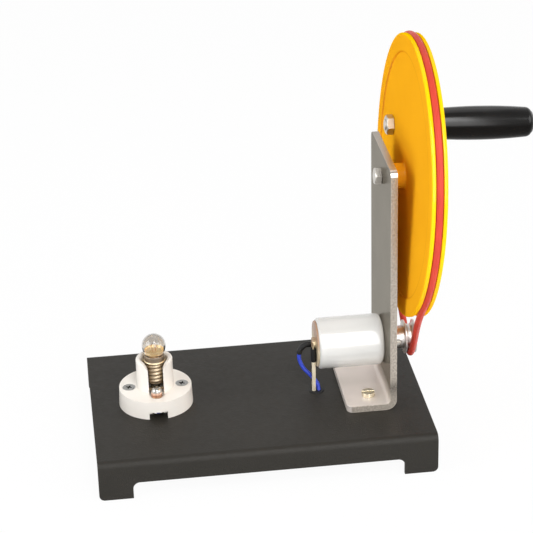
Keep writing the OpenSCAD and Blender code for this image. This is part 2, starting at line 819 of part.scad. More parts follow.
module front_bearing() {
    color([0.65, 0.48, 0.26]) placed() bearing(front_bearing_x1 - bearing_l);
}

module rear_bearing() {
    color([0.65, 0.48, 0.26]) placed() bearing(rear_bearing_x0);
}

// Two curved magnets against the can's bore, above and below the armature
module magnets() {
    color([0.28, 0.28, 0.29]) placed()
        along_x((core_x0 + core_x1 - magnet_l) / 2, 0, motor_z) for (turn = [0, 180])
            rotate(turn - magnet_arc / 2) rotate_extrude(angle = magnet_arc)
                translate([magnet_r0, 0]) square([magnet_t, magnet_l]);
}

// The two terminals stand opposite each other about the generator's axis, where
// local X points down and local Y to the rear: the first one is the rear one.
module at_terminals() {
    for (turn = [0, 180]) rotate(terminal_angle + turn) translate([terminal_r, 0, 0]) children();
}

// Carbon blocks between the commutator and the terminals' leaves
module brushes() {
    color([0.2, 0.2, 0.2]) placed() along_x(brush_x - brush_w / 2, 0, motor_z) for (turn = [0, 180])
        rotate(terminal_angle + turn) difference() {
            translate([0, -brush_h / 2, 0]) cube([terminal_r - terminal_t / 2, brush_h, brush_w]);
            translate([0, 0, -over]) cylinder(d = commutator_d + 2 * brush_fit, h = brush_w + 2 * over);
        }
}

// Brass terminals: a tab outside the end cap and a leaf that presses on a brush.
// The front tab is turned down at its end.
module terminals() {
    leaf_l = brush_x + brush_w / 2 - cap_x0;
    front_x = -terminal_r * cos(terminal_angle);
    front_y = -terminal_r * sin(terminal_angle);
    color([0.8, 0.64, 0.3]) placed() along_x(cap_x0, 0, motor_z) {
        at_terminals() translate([-terminal_t / 2, -terminal_w / 2, -terminal_out])
            cube([terminal_t, terminal_w, terminal_out + leaf_l]);
        translate([front_x - terminal_t, front_y - terminal_w / 2, -terminal_out])
            cube([terminal_drop + terminal_t, terminal_w, terminal_t]);
    }
}

module motor_screws() {
    color([0.78, 0.76, 0.72]) placed() for (side = [-1, 1])
        along_x(upright_x1, side * motor_screw_pitch / 2, motor_z) difference() {
            union() {
                cylinder(d = motor_screw_head_d, h = motor_screw_head_h);
                translate([0, 0, -motor_screw_l]) cylinder(d = motor_screw_d, h = motor_screw_l);
            }
            driver_slot(motor_screw_head_d, motor_screw_head_h);
        }
}

// Smooth points between a route's own points, on a curve through all of them
function blend_point(a, b, c, d, t) =
    0.5 * (2 * b + (c - a) * t + (2 * a - 5 * b + 4 * c - d) * t ^ 2 + (3 * b - a - 3 * c + d) * t ^ 3);
function smooth_route(p, steps) = [
    for (i = [0 : len(p) - 2], k = [0 : steps - 1])
        blend_point(p[max(i - 1, 0)], p[i], p[i + 1], p[min(i + 2, len(p) - 1)], k / steps),
    p[len(p) - 1]
];

// Direction of a route at one of its points, and a normal carried along without twist
function unit(v) = v / norm(v);
function heading(p, i) = unit(p[min(i + 1, len(p) - 1)] - p[max(i - 1, 0)]);
function square_to(n, t) = unit(n - (n * t) * t);
function carried(p, i, n) = i == len(p) ? [] :
    let (m = square_to(n, heading(p, i))) concat([m], carried(p, i + 1, m));

// Points of the rings of a tube along a route
function tube_rings(p, r, first, last) = let (n = carried(p, 0, [0, 1, 0])) [
    for (i = [first : last], k = [0 : lead_sides - 1])
        let (angle = 360 * k / lead_sides, t = heading(p, i))
        p[i] + r * (cos(angle) * n[i] + sin(angle) * cross(t, n[i]))
];

// Triangles of a tube's wall, from a first point, facing out or in
function wall_faces(start, rings, out) = [
    for (i = [0 : rings - 2], k = [0 : lead_sides - 1], half = [0, 1])
        let (
            a = start + i * lead_sides + k,
            b = start + i * lead_sides + (k + 1) % lead_sides,
            c = b + lead_sides,
            d = a + lead_sides,
            f = half == 0 ? [a, d, c] : [a, c, b]
        )
        out ? f : [f[2], f[1], f[0]]
];

// Triangles that close a full tube at one end
function end_faces(start, out) = [
    for (k = [1 : lead_sides - 2])
        out ? [start, start + k + 1, start + k] : [start, start + k, start + k + 1]
];

// Triangles between an outer and an inner ring at one end of a hollow tube
function lip_faces(outer, inner, out) = [
    for (k = [0 : lead_sides - 1], half = [0, 1])
        let (
            a = outer + k,
            b = outer + (k + 1) % lead_sides,
            c = inner + (k + 1) % lead_sides,
            d = inner + k,
            f = half == 0 ? [a, b, c] : [a, c, d]
        )
        out ? [f[2], f[1], f[0]] : f
];

module lead(route) {
    p = smooth_route(route, lead_steps);
    rings = len(p);
    polyhedron(
        points = tube_rings(p, lead_d / 2, 0, rings - 1),
        faces = concat(
            wall_faces(0, rings, true),
            end_faces(0, false),
            end_faces((rings - 1) * lead_sides, true)
        )
    );
}

// Sleeve over the first rings of a lead, and past its start over the terminal
module lead_sleeve(route, rings) {
    q = smooth_route(route, lead_steps);
    p = concat([q[0] - lead_sleeve_over * heading(q, 0)], q);
    r0 = lead_d / 2 + lead_sleeve_fit;
    count = rings * lead_sides;
    polyhedron(
        points = concat(
            tube_rings(p, r0 + lead_sleeve_wall, 0, rings - 1),
            tube_rings(p, r0, 0, rings - 1)
        ),
        faces = concat(
            wall_faces(0, rings, true),
            wall_faces(count, rings, false),
            lip_faces(0, count, false),
            lip_faces(count - lead_sides, 2 * count - lead_sides, true)
        )
    );
}

module lead_blue() {
    color([0.18, 0.24, 0.75]) placed() lead(route_blue);
}

module lead_white() {
    color([0.92, 0.88, 0.78]) placed() lead(route_white);
}

module lead_sleeves() {
    color([0.08, 0.08, 0.08]) placed() {
        lead_sleeve(route_white, sleeve_rings_white);
        lead_sleeve(route_blue, sleeve_rings_blue);
    }
}

// Opening with one round end, from the lamp's axis to the front or the rear
module terminal_recess(side, from, to) {
    translate([-slot_w / 2, side > 0 ? from : -to + slot_w / 2, 0]) square([slot_w, to - from - slot_w / 2]);
    translate([0, side * (to - slot_w / 2)]) circle(d = slot_w);
}

// Slot in the tower's front, flared at the top, seen from the front
module tower_slot() {
    flare_z = tower_z - slot_flare_r;
    half = slot_w / 2 + slot_flare_r;
    translate([-slot_w / 2, floor_z]) square([slot_w, tower_h + recess_d + over]);
    difference() {
        translate([-half, flare_z]) square([2 * half, slot_flare_r + over]);
        for (side = [-1, 1]) translate([side * half, flare_z]) circle(slot_flare_r);
    }
}

// Tower wall with a full round on its top
module tower() {
    wall = (tower_d - tower_bore_d) / 2;
    rotate_extrude() {
        translate([tower_bore_d / 2, floor_z]) square([wall, tower_z - wall / 2 - floor_z]);
        translate([tower_bore_d / 2 + wall / 2, tower_z - wall / 2]) circle(wall / 2);
    }
}

// White moulded holder: a disc on the base and a slotted tower round the lamp
module lamp_holder() {
    notch_l = holder_d - front_terminal - terminal_pocket_d / 2 + notch_spare;
    color([0.96, 0.94, 0.91]) placed() at_lamp() difference() {
        union() {
            translate([0, 0, top_z])
                cylinder(r1 = holder_d / 2, r2 = holder_d / 2 - holder_draft, h = holder_h);
            tower();
        }
        translate([0, 0, floor_z]) cylinder(d = tower_bore_d, h = tower_h + recess_d + over);
        rotate([90, 0, 0]) linear_extrude(tower_d / 2 + recess_spare / 2) tower_slot();
        translate([0, 0, floor_z]) linear_extrude(recess_d + over) {
            terminal_recess(-1, 0, recess_end);
            difference() {
                terminal_recess(1, 0, rear_terminal + slot_w / 2);
                circle(d = tower_d);
            }
        }
        translate([-strip_w / 2 - hole_fit, 0, floor_z - eps])
            cube([strip_w + 2 * hole_fit, rear_terminal, strip_t + hole_fit]);
        for (y = [-front_terminal, rear_terminal]) translate([0, y, top_z - over]) {
            cylinder(d = terminal_screw_d + 2 * hole_fit, h = holder_h + over);
            cylinder(d = terminal_pocket_d, h = terminal_pocket_h + over);
        }
        for (side = [-1, 1]) translate([side * holder_screw_r, 0, 0]) {
            translate([0, 0, top_z - over]) cylinder(d = m3_d + 2 * hole_fit, h = holder_h + 2 * over);
            translate([0, 0, disc_z - csk_h])
                cylinder(d1 = m3_d + 2 * hole_fit, d2 = csk_d + 2 * hole_fit, h = csk_h + eps);
        }
        translate([-notch_w / 2, -holder_d, top_z - over]) cube([notch_w, notch_l, notch_h + over]);
    }
}

// Brass liner of the tower, with a closed ring at its foot and a slot above it
module lamp_socket() {
    color([0.8, 0.66, 0.36]) placed() at_lamp() difference() {
        translate([0, 0, socket_z0]) ring(socket_d, socket_d - 2 * socket_wall, socket_z1 - socket_z0);
        translate([-slot_w / 2 - socket_slot_side, -tower_d, socket_z0 + socket_ring])
            cube([slot_w + 2 * socket_slot_side, tower_d, socket_z1 - socket_z0]);
    }
}

module strip_hole(y) {
    translate([0, y, floor_z - over]) cylinder(d = terminal_screw_d + 2 * hole_fit, h = strip_t + 2 * over);
}

// Brass strip from the front terminal, turned up against the liner's ring
module side_contact() {
    riser_y = -socket_d / 2 + riser_in;
    color([0.82, 0.7, 0.42]) placed() at_lamp() difference() {
        union() {
            translate([-strip_w / 2, -front_terminal - strip_end, floor_z])
                cube([strip_w, front_terminal + strip_end + riser_y + riser_t, strip_t]);
            translate([-riser_w / 2, riser_y, floor_z]) cube([riser_w, riser_t, strip_t + socket_lift]);
        }
        strip_hole(-front_terminal);
    }
}

// Brass strip from the rear terminal to a raised button under the lamp's tip
module centre_contact() {
    color([0.82, 0.7, 0.42]) placed() at_lamp() difference() {
        union() {
            translate([-strip_w / 2, -strip_button, floor_z])
                cube([strip_w, rear_terminal + strip_button + strip_end, strip_t]);
            translate([0, 0, floor_z]) cylinder(d = tip_d, h = tip_z - floor_z);
        }
        strip_hole(rear_terminal);
    }
}

module at_lamp_terminals() {
    at_lamp() for (y = [-front_terminal, rear_terminal]) translate([0, y, 0]) children();
}

// Screws that clamp the strips, with deep heads that are round on top
module terminal_screws() {
    dome_r = (terminal_head_d ^ 2 / 4 + terminal_dome_h ^ 2) / (2 * terminal_dome_h);
    dome_z = strip_z + terminal_side_h;
    color([0.8, 0.78, 0.72]) placed() at_lamp_terminals() difference() {
        union() {
            intersection() {
                translate([0, 0, dome_z + terminal_dome_h - dome_r]) sphere(dome_r);
                translate([0, 0, dome_z]) cylinder(d = terminal_head_d + 1, h = terminal_dome_h + over);
            }
            translate([0, 0, strip_z]) cylinder(d = terminal_head_d, h = terminal_side_h + eps);
            translate([0, 0, terminal_end_z])
                cylinder(d = terminal_screw_d, h = strip_z - terminal_end_z + eps);
        }
        driver_slot(terminal_head_d, dome_z + terminal_dome_h);
    }
}

module terminal_nuts() {
    color([0.8, 0.66, 0.36]) placed() at_lamp_terminals()
        translate([0, 0, terminal_nut_z])
            nut(terminal_nut_af, terminal_screw_d + 2 * seat_fit, terminal_nut_h);
}

// Countersunk screws through the holder and the base
module holder_screws() {
    end_z = plate_z - m3_nut_h - m3_spare;
    color([0.72, 0.72, 0.7]) placed() at_holder_screws() difference() {
        union() {
            translate([0, 0, disc_z - csk_h]) cylinder(d1 = m3_d, d2 = csk_d, h = csk_h);
            translate([0, 0, end_z]) cylinder(d = m3_d, h = disc_z - csk_h - end_z + eps);
        }
        cross_recess(csk_d / 2, disc_z);
    }
}

module holder_nuts() {
    color([0.72, 0.72, 0.7]) placed() at_holder_screws() m3_nut_below(plate_z);
}

// Section of the rim's groove: round at the bottom and flared to the rim
module wheel_groove() {
    flare = groove_r + belt_d * tan(groove_flare);
    circle(groove_r);
    polygon([[0, -groove_r], [belt_d, -flare], [belt_d, flare], [0, groove_r]]);
}

// Moulded wheel with a grooved rim, a recess in each face and a long hub on the left
module wheel() {
    color([0.96, 0.68, 0.12]) placed() on_axle() along_x(0, 0, axle_z) difference() {
        union() {
            translate([0, 0, wheel_x0]) cylinder(d = wheel_d, h = wheel_w, $fn = 180);
            translate([0, 0, hub_x0]) cylinder(d = hub_d, h = hub_x1 - hub_x0);
        }
        for (x = [wheel_x0 - over, crank_floor_x1]) translate([0, 0, x]) difference() {
            cylinder(d = wheel_recess_d, h = wheel_recess + over, $fn = 180);
            cylinder(d = hub_d, h = wheel_recess + over);
        }
        translate([0, 0, belt_x]) rotate_extrude($fn = 180) translate([belt_wheel_r, 0]) wheel_groove();
        translate([0, 0, hub_x0 - over])
            cylinder(d = bush_d + 2 * run_fit, h = hub_x1 - hub_x0 + 2 * over);
        translate([axle_z - crank_z, crank_y, wheel_x0 - over])
            cylinder(d = crank_thread_d + 2 * hole_fit, h = wheel_w + 2 * over);
    }
}

// Shouldered bolt: a thread in the wheel, a plain shank in the grip and a slotted head
module crank_bolt() {
    thread_x0 = crank_floor_x0 - crank_nut_h - crank_spare;
    shank_x0 = crank_floor_x1 + crank_washer_t;
    color([0.7, 0.7, 0.69]) placed() on_axle() along_x(0, crank_y, crank_z) difference() {
        union() {
            translate([0, 0, thread_x0]) cylinder(d = crank_thread_d, h = shank_x0 - thread_x0);
            translate([0, 0, shank_x0]) cylinder(d = crank_shank_d, h = crank_head_x0 - shank_x0);
            translate([0, 0, crank_head_x0]) cylinder(d = crank_head_d, h = crank_head_h);
        }
        driver_slot(crank_head_d, crank_head_x0 + crank_head_h);
    }
}

module crank_nut() {
    color([0.78, 0.76, 0.7]) placed() on_axle() along_x(crank_floor_x0, crank_y, crank_z)
        mirror([0, 0, 1]) rotate(crank_nut_turn) nut(crank_nut_af, crank_thread_d + 2 * seat_fit, crank_nut_h);
}

module crank_washer() {
    color([0.75, 0.75, 0.73]) placed() on_axle() along_x(crank_floor_x1, crank_y, crank_z)
        ring(crank_washer_d, crank_thread_d + 2 * seat_fit, crank_washer_t);
}

// Radius of the grip along its length: it swells to the belly and narrows again
function grip_radius(x) = let (belly = grip_belly * grip_l)
    x < belly ? grip_d_max / 2 - (grip_d_max - grip_d_inner) / 2 * ((belly - x) / belly) ^ 2
    : grip_d_max / 2 - (grip_d_max - grip_d_outer) / 2 * ((x - belly) / (grip_l - belly)) ^ 2;

// Turned grip, free to turn on the bolt's shank
module grip() {
    round_x = grip_l - grip_edge_r;
    round_r = grip_radius(round_x) - grip_edge_r;
    color([0.15, 0.14, 0.13]) placed() on_axle() along_x(grip_x0, crank_y, crank_z) difference() {
        rotate_extrude() polygon(concat(
            [[0, 0]],
            [for (i = [0 : grip_steps]) [grip_radius(i * round_x / grip_steps), i * round_x / grip_steps]],
            [for (a = [grip_edge_step : grip_edge_step : 90])
                [round_r + grip_edge_r * cos(a), round_x + grip_edge_r * sin(a)]],
            [[0, grip_l]]
        ));
        translate([0, 0, -over]) cylinder(d = crank_shank_d + 2 * run_fit, h = grip_l + 2 * over);
        translate([0, 0, crank_head_x0 - grip_x0 - end_play])
            cylinder(d = crank_head_d + 2 * hole_fit, h = grip_l);
    }
}

module rotor_shaft() {
    color([0.75, 0.75, 0.75]) placed() along_x(shaft_x0, 0, motor_z)
        cylinder(d = shaft_d, h = shaft_x1 - shaft_x0);
}

module around_arms() {
    for (turn = [0, 120, 240]) rotate(turn) children();
}

// Wedge about the X axis, wide enough to cut any ring of the armature
module wedge(angle) {
    reach = 2 * core_r * cos(angle / 2);
    half = 2 * core_r * sin(angle / 2);
    polygon([[0, 0], [reach, -half], [reach, half]]);
}

// Three-armed core with a pole shoe on each arm
module armature_core() {
    color([0.45, 0.46, 0.48]) placed() along_x(core_x0, 0, motor_z) linear_extrude(core_l) difference() {
        union() {
            circle(core_hub_r);
            around_arms() {
                translate([0, -arm_w / 2]) square([core_r - shoe_t / 2, arm_w]);
                intersection() {
                    difference() {
                        circle(core_r);
                        circle(core_r - shoe_t);
                    }
                    wedge(shoe_arc);
                }
            }
        }
        circle(shaft_d / 2 + seat_fit);
    }
}

// One coil of enamelled wire round each arm
module armature_windings() {
    half = arm_w / 2 + winding_fit;
    r0 = core_hub_r + winding_fit;
    r1 = sqrt((core_r - shoe_t) ^ 2 - (half + winding_side) ^ 2) - winding_fit;
    color([0.72, 0.36, 0.16]) placed() along_x(core_x0, 0, motor_z) around_arms() difference() {
        translate([r0, -half - winding_side, -winding_end])
            cube([r1 - r0, 2 * (half + winding_side), core_l + 2 * winding_end]);
        translate([0, -half, -winding_fit]) cube([core_r, 2 * half, core_l + 2 * winding_fit]);
    }
}

module commutator() {
    segment = 120 - commutator_gap;
    color([0.75, 0.45, 0.25]) placed() along_x(commutator_x0, 0, motor_z) around_arms()
        rotate(-segment / 2) rotate_extrude(angle = segment)
            translate([commutator_d / 2 - commutator_wall, 0]) square([commutator_wall, commutator_l]);
}

module commutator_sleeve() {
    outer_d = commutator_d - 2 * commutator_wall - 2 * seat_fit;
    color([0.45, 0.3, 0.2]) placed() along_x(commutator_x0 - commutator_over, 0, motor_z)
        ring(outer_d, shaft_d + 2 * seat_fit, commutator_l + 2 * commutator_over);
}

// Grooved pulley with a boss, pinned to the shaft by a set screw
module pulley() {
    color([0.78, 0.78, 0.77]) placed() along_x(0, 0, motor_z) difference() {
        union() {
            translate([0, 0, pulley_boss_x0])
                cylinder(d = pulley_boss_d, h = pulley_x0 - pulley_boss_x0 + eps);
            translate([0, 0, pulley_x0]) cylinder(d = pulley_flange_d, h = pulley_w);
        }
        translate([0, 0, belt_x]) rotate_extrude() translate([belt_pulley_r, 0]) circle(groove_r);
        translate([0, 0, pulley_boss_x0 - over])
            cylinder(d = shaft_d + 2 * seat_fit, h = pulley_x1 - pulley_boss_x0 + 2 * over);
        translate([0, 0, pulley_screw_x]) rotate([90, 0, 0])
            cylinder(d = pulley_screw_d + 2 * seat_fit, h = pulley_boss_d);
    }
}

module pulley_screw() {
    length = pulley_boss_d / 2 - shaft_d / 2 - seat_fit - pulley_screw_sunk;
    color([0.25, 0.25, 0.26]) placed() translate([pulley_screw_x, -shaft_d / 2 - seat_fit, motor_z])
        rotate([90, 0, 0]) difference() {
            cylinder(d = pulley_screw_d, h = length);
            driver_slot(pulley_screw_d, length);
        }
}

// Solder tip that presses on the centre contact
module lamp_tip() {
    color([0.7, 0.7, 0.68]) placed() at_lamp() translate([0, 0, tip_z])
        cylinder(d1 = tip_d * tip_taper, d2 = tip_d, h = tip_h);
}

module lamp_insulator() {
    color([0.1, 0.09, 0.12]) placed() at_lamp() translate([0, 0, insulator_z])
        cylinder(d1 = tip_d + 2 * insulator_step, d2 = 2 * cap_root_r - insulator_step, h = insulator_h);
}

// Radius of the screw cap's thread: rounded, right-handed and fading at both ends
function cap_radius(turn, z) =
    let (
        fade = min(1, z / cap_pitch, (cap_thread_h - z) / cap_pitch),
        wave = 0.5 + 0.5 * cos(360 * (z / cap_pitch - turn))
    )
    cap_root_r + cap_thread * fade * wave;

// Number of rows along the cap's thread, and its plain rows above: height and radius
cap_rows = ceil(cap_thread_h / cap_pitch * cap_samples);
cap_plain = [
    [cap_thread_h + bead_round, bead_r - bead_round],
    [cap_thread_h + bead_h / 2, bead_r],
    [cap_thread_h + bead_h - bead_round, bead_r - bead_round],
    [cap_thread_h + bead_h, bead_r - bead_round],
    [cap_h, bead_r - bead_round]
];
function around_cap(r, z, k) = let (a = 360 * k / cap_sides) [r * cos(a), r * sin(a), z];

// Screw cap: a threaded shell, a bead and a plain collar round the glass
module lamp_cap() {
    rows = cap_rows + len(cap_plain);
    last = rows * cap_sides;
    bore = last + cap_sides;
    top = bore + cap_sides;
    color([0.8, 0.72, 0.55]) placed() at_lamp() translate([0, 0, cap_z]) polyhedron(
        points = concat(
            [for (i = [0 : cap_rows], k = [0 : cap_sides - 1])
                let (z = cap_thread_h * i / cap_rows) around_cap(cap_radius(k / cap_sides, z), z, k)],
            [for (row = cap_plain, k = [0 : cap_sides - 1]) around_cap(row[1], row[0], k)],
            [for (z = [0, cap_h], k = [0 : cap_sides - 1]) around_cap(cap_bore_r, z, k)]
        ),
        faces = [
            for (k = [0 : cap_sides - 1]) let (n = (k + 1) % cap_sides) each concat(
                [for (i = [0 : rows - 1]) let (s = i * cap_sides) each
                    [[s + k, s + cap_sides + k, s + cap_sides + n], [s + k, s + cap_sides + n, s + n]]],
                [[top + n, top + k, bore + k], [bore + n, top + n, bore + k]],
                [[k, n, bore + n], [k, bore + n, bore + k]],
                [[top + n, last + n, last + k], [top + k, top + n, last + k]]
            )
        ]
    );
}

// Outline of the globe and of the cone below it, which ends in a flat shoulder
module pear(d, r, z) {
    difference() {
        hull() {
            translate([0, globe_z]) circle(d = d);
            translate([0, z]) square([r, eps]);
        }
        translate([-d, z - d]) square([2 * d, d]);
    }
}

// Hollow glass: a neck inside the collar, a shoulder over the collar and a pear-shaped globe
module lamp_glass() {
    color([0.9, 0.9, 0.88, 0.4]) placed() at_lamp() rotate_extrude() difference() {
        union() {
            pear(globe_d, shoulder_r, shoulder_z);
            translate([0, neck_z]) square([neck_r, globe_z - neck_z]);
        }
        pear(globe_d - 2 * glass_wall, shoulder_r - glass_wall, shoulder_z + glass_wall);
        translate([0, neck_z + glass_wall]) square([neck_r - glass_wall, globe_z - neck_z]);
        translate([-globe_d, neck_z - over]) square([globe_d, globe_d + globe_z]);
    }
}

module lamp_stem() {
    color([0.85, 0.85, 0.82]) placed() at_lamp() translate([0, 0, neck_z + glass_wall])
        cylinder(r = stem_r, h = stem_z1 - neck_z - glass_wall);
}

module lamp_supports() {
    color([0.6, 0.5, 0.4]) placed() at_lamp() for (side = [-1, 1])
        translate([side * support_half, 0, stem_z1]) cylinder(d = support_d, h = support_z1 - stem_z1);
}

module lamp_filament() {
    color([0.4, 0.4, 0.4]) placed() at_lamp()
        along_x(-filament_l / 2, 0, support_z1 + filament_d / 2) cylinder(d = filament_d, h = filament_l);
}

base();
bracket();
bracket_screws();
bracket_washers();
bracket_nuts();
axle_bolt();
axle_washers();
axle_bush();
axle_nut();
belt();
motor_sleeve();
motor_can();
motor_end_cap();
front_bearing();
rear_bearing();
magnets();
brushes();
terminals();
motor_screws();
lead_blue();
lead_white();
lead_sleeves();
lamp_holder();
lamp_socket();
side_contact();
centre_contact();
terminal_screws();
terminal_nuts();
holder_screws();
holder_nuts();
wheel();
crank_bolt();
crank_nut();
crank_washer();
grip();
rotor_shaft();
armature_core();
armature_windings();
commutator();
commutator_sleeve();
pulley();
pulley_screw();
lamp_tip();
lamp_insulator();
lamp_cap();
lamp_glass();
lamp_stem();
lamp_supports();
lamp_filament();
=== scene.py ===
"""Looks of the hand-cranked demonstration dynamo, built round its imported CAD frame.

Shapes are worked out in bench millimetres: the middle of the base is x = y = 0 and the
table is z = 0. to_frame() turns such points into metres in the part's own frame.
"""
import math

import bmesh
import bpy
import numpy as np
from mathutils import Matrix

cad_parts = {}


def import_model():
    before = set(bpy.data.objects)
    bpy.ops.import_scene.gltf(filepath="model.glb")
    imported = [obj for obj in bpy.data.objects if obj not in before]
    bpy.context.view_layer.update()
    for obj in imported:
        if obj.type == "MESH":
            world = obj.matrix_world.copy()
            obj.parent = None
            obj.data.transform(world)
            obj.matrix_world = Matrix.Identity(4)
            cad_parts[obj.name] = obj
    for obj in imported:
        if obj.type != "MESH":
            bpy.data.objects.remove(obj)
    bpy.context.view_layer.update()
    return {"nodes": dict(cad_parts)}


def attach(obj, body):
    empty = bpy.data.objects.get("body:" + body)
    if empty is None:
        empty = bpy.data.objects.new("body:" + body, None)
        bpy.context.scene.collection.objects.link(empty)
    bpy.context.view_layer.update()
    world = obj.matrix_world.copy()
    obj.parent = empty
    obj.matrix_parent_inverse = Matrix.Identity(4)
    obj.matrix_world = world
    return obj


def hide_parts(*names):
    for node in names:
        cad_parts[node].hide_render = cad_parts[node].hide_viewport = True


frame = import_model()

MM = 0.001  # metres in a millimetre
X_AXIS, Y_AXIS, Z_AXIS = np.eye(3)

# Sizes shared with the part's source, in bench millimetres
SHIFT_X = -28.60687  # from the bench's middle to the frame's
PIVOT = np.array([59.5, 0.0, 122.5])  # where the leaning axle crosses the bracket's middle
LEAN = math.radians(3)  # lean of the axle, wheel and grip
CRANK = np.array([0.0, 29.7629, 134.5249])  # a point on the crank bolt's axis, before the lean
BORE_R = 3.05  # bore of the wheel and of the grip
BELT_X, BELT_R, BELT_PULLEY_R = 70.9, 61.5, 7.5  # plane of the belt, its radii on wheel and pulley
BELT_THICK = 3.0
MOTOR_Z = 42.0  # height of the generator's axis
TOP_Z, PLATE_Z = 18.5, 16.9  # upper and lower side of the base's sheet
HOLE = np.array([27.7, -1.5, 0.0])  # axis of the leads' hole in the base
LEAD_R = 0.9
LAMP = np.array([-45.5, 1.0, 0.0])  # axis of the lamp


# ---------------------------------------------------------------- shapes

def to_frame(points):
    """Bench millimetres to metres in the part's frame: a shift along X, then a thousandth."""
    return (np.asarray(points, float) + [SHIFT_X, 0, 0]) * MM


def leaned(points):
    """Turns points about the axle's pivot by the axle's lean, as a rotation about Y."""
    c, s = math.cos(LEAN), math.sin(LEAN)
    turn = np.array([[c, 0, s], [0, 1, 0], [-s, 0, c]])
    return (np.asarray(points) - PIVOT) @ turn.T + PIVOT


def unit(v):
    """Each vector of an array divided by its own length."""
    return v / np.linalg.norm(v, axis=-1, keepdims=True)


def rounded(corners, radii, steps=6):
    """A line in a plane with its corners rounded: each corner is replaced by points on the
    arc of its radius that touches both sides. A radius of 0 keeps the corner."""
    corners = np.asarray(corners, float)
    line = []
    for i, (corner, radius) in enumerate(zip(corners, radii)):
        if radius == 0:
            line.append(corner[None])
            continue
        back = unit(corners[i - 1] - corner)
        ahead = unit(corners[(i + 1) % len(corners)] - corner)
        half = math.acos(np.clip(back @ ahead, -1, 1)) / 2
        centre = corner + unit(back + ahead) * radius / math.sin(half)
        share = np.linspace(0, 1, steps + 1)[:, None]
        arc = (1 - share) * (corner + back * radius / math.tan(half)) \
            + share * (corner + ahead * radius / math.tan(half))
        line.append(centre + unit(arc - centre) * radius)
    return np.concatenate(line)


def quads(rows, cols, wrap_rows):
    """Index quadruples between neighbouring rows and columns of a grid of points, whose last
    column joins its first, and its last row too where the rows wrap."""
    i = np.arange(rows if wrap_rows else rows - 1)[:, None]
    k = np.arange(cols)[None, :]
    i2, k2 = (i + 1) % rows, (k + 1) % cols
    four = np.broadcast_arrays(i * cols + k, i * cols + k2, i2 * cols + k2, i2 * cols + k)
    return np.stack(four, -1).reshape(-1, 4)


def turned(profile, origin, axis=X_AXIS, steps=96):
    """Surface of revolution: a point at (along, radius) of the profile goes to the origin
    plus along times the axis plus radius times a unit vector that turns once round it."""
    profile = np.asarray(profile, float)
    side = Y_AXIS if axis is X_AXIS else X_AXIS
    angle = np.linspace(0, 2 * math.pi, steps, endpoint=False)
    spoke = np.cos(angle)[:, None] * side + np.sin(angle)[:, None] * np.cross(axis, side)
    return origin + profile[:, None, :1] * axis + profile[:, None, 1:] * spoke[None]


def swept(path, radius, sides=16, across=Y_AXIS, closed=False):
    """Tube: at each point of the path a circle of the radius, square to the path, starting
    at the part of the across vector that is square to the path."""
    path = np.asarray(path, float)
    ahead = np.roll(path, -1, 0) - np.roll(path, 1, 0)
    if not closed:
        ahead[0], ahead[-1] = path[1] - path[0], path[-1] - path[-2]
    ahead = unit(ahead)
    normal = unit(across - (ahead @ across)[:, None] * ahead)
    binormal = np.cross(ahead, normal)
    angle = np.linspace(0, 2 * math.pi, sides, endpoint=False)[None, :, None]
    radius = np.broadcast_to(radius, len(path))[:, None, None]
    ring = np.cos(angle) * normal[:, None] + np.sin(angle) * binormal[:, None]
    return path[:, None] + radius * ring


def smooth_route(points, steps):
    """Curve through a route's points: on each stretch the cubic whose ends have the slope
    of the line between the points on either side of them."""
    points = np.asarray(points, float)
    padded = np.concatenate([points[:1], points, points[-1:]])
    a, b, c, d = (padded[i:len(padded) - 3 + i, None] for i in range(4))
    t = np.linspace(0, 1, steps, endpoint=False)[None, :, None]
    curve = 0.5 * (2 * b + (c - a) * t + (2 * a - 5 * b + 4 * c - d) * t ** 2
                   + (3 * b - a - 3 * c + d) * t ** 3)
    return np.concatenate([curve.reshape(-1, 3), points[-1:]])


def capped(grid):
    """A grid with a point at the middle of its first and of its last row, which closes it."""
    first = np.broadcast_to(grid[:1].mean(1, keepdims=True), grid[:1].shape)
    last = np.broadcast_to(grid[-1:].mean(1, keepdims=True), grid[-1:].shape)
    return np.concatenate([first, grid, last])


def piece(name, grids, finish, body, nodes, wrap_rows=False, sharp=40):
    """One object from grids of bench points: their quads, with poles and seams merged, and
    edges that turn by more than the sharp angle left unsmoothed."""
    points, faces, start = [], [], 0
    for grid in grids:
        rows, cols = grid.shape[:2]
        points.append(to_frame(grid.reshape(-1, 3)))
        faces.append(quads(rows, cols, wrap_rows) + start)
        start += rows * cols
    mesh = bpy.data.meshes.new(name)
    mesh.from_pydata(np.concatenate(points).tolist(), [], np.concatenate(faces).tolist())
    work = bmesh.new()
    work.from_mesh(mesh)
    bmesh.ops.remove_doubles(work, verts=work.verts, dist=2e-7)
    work.to_mesh(mesh)
    work.free()
    return place(name, mesh, finish, body, nodes, sharp)


def place(name, mesh, finish, body, nodes, sharp):
    """Shades a mesh, gives it its finish and sets it on its body in place of CAD nodes."""
    mesh.shade_smooth()
    mesh.set_sharp_from_angle(angle=math.radians(sharp))
    mesh.materials.clear()
    mesh.materials.append(finish)
    obj = bpy.data.objects.new(name, mesh)
    bpy.context.scene.collection.objects.link(obj)
    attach(obj, body)
    if nodes:
        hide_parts(*nodes)
    return obj


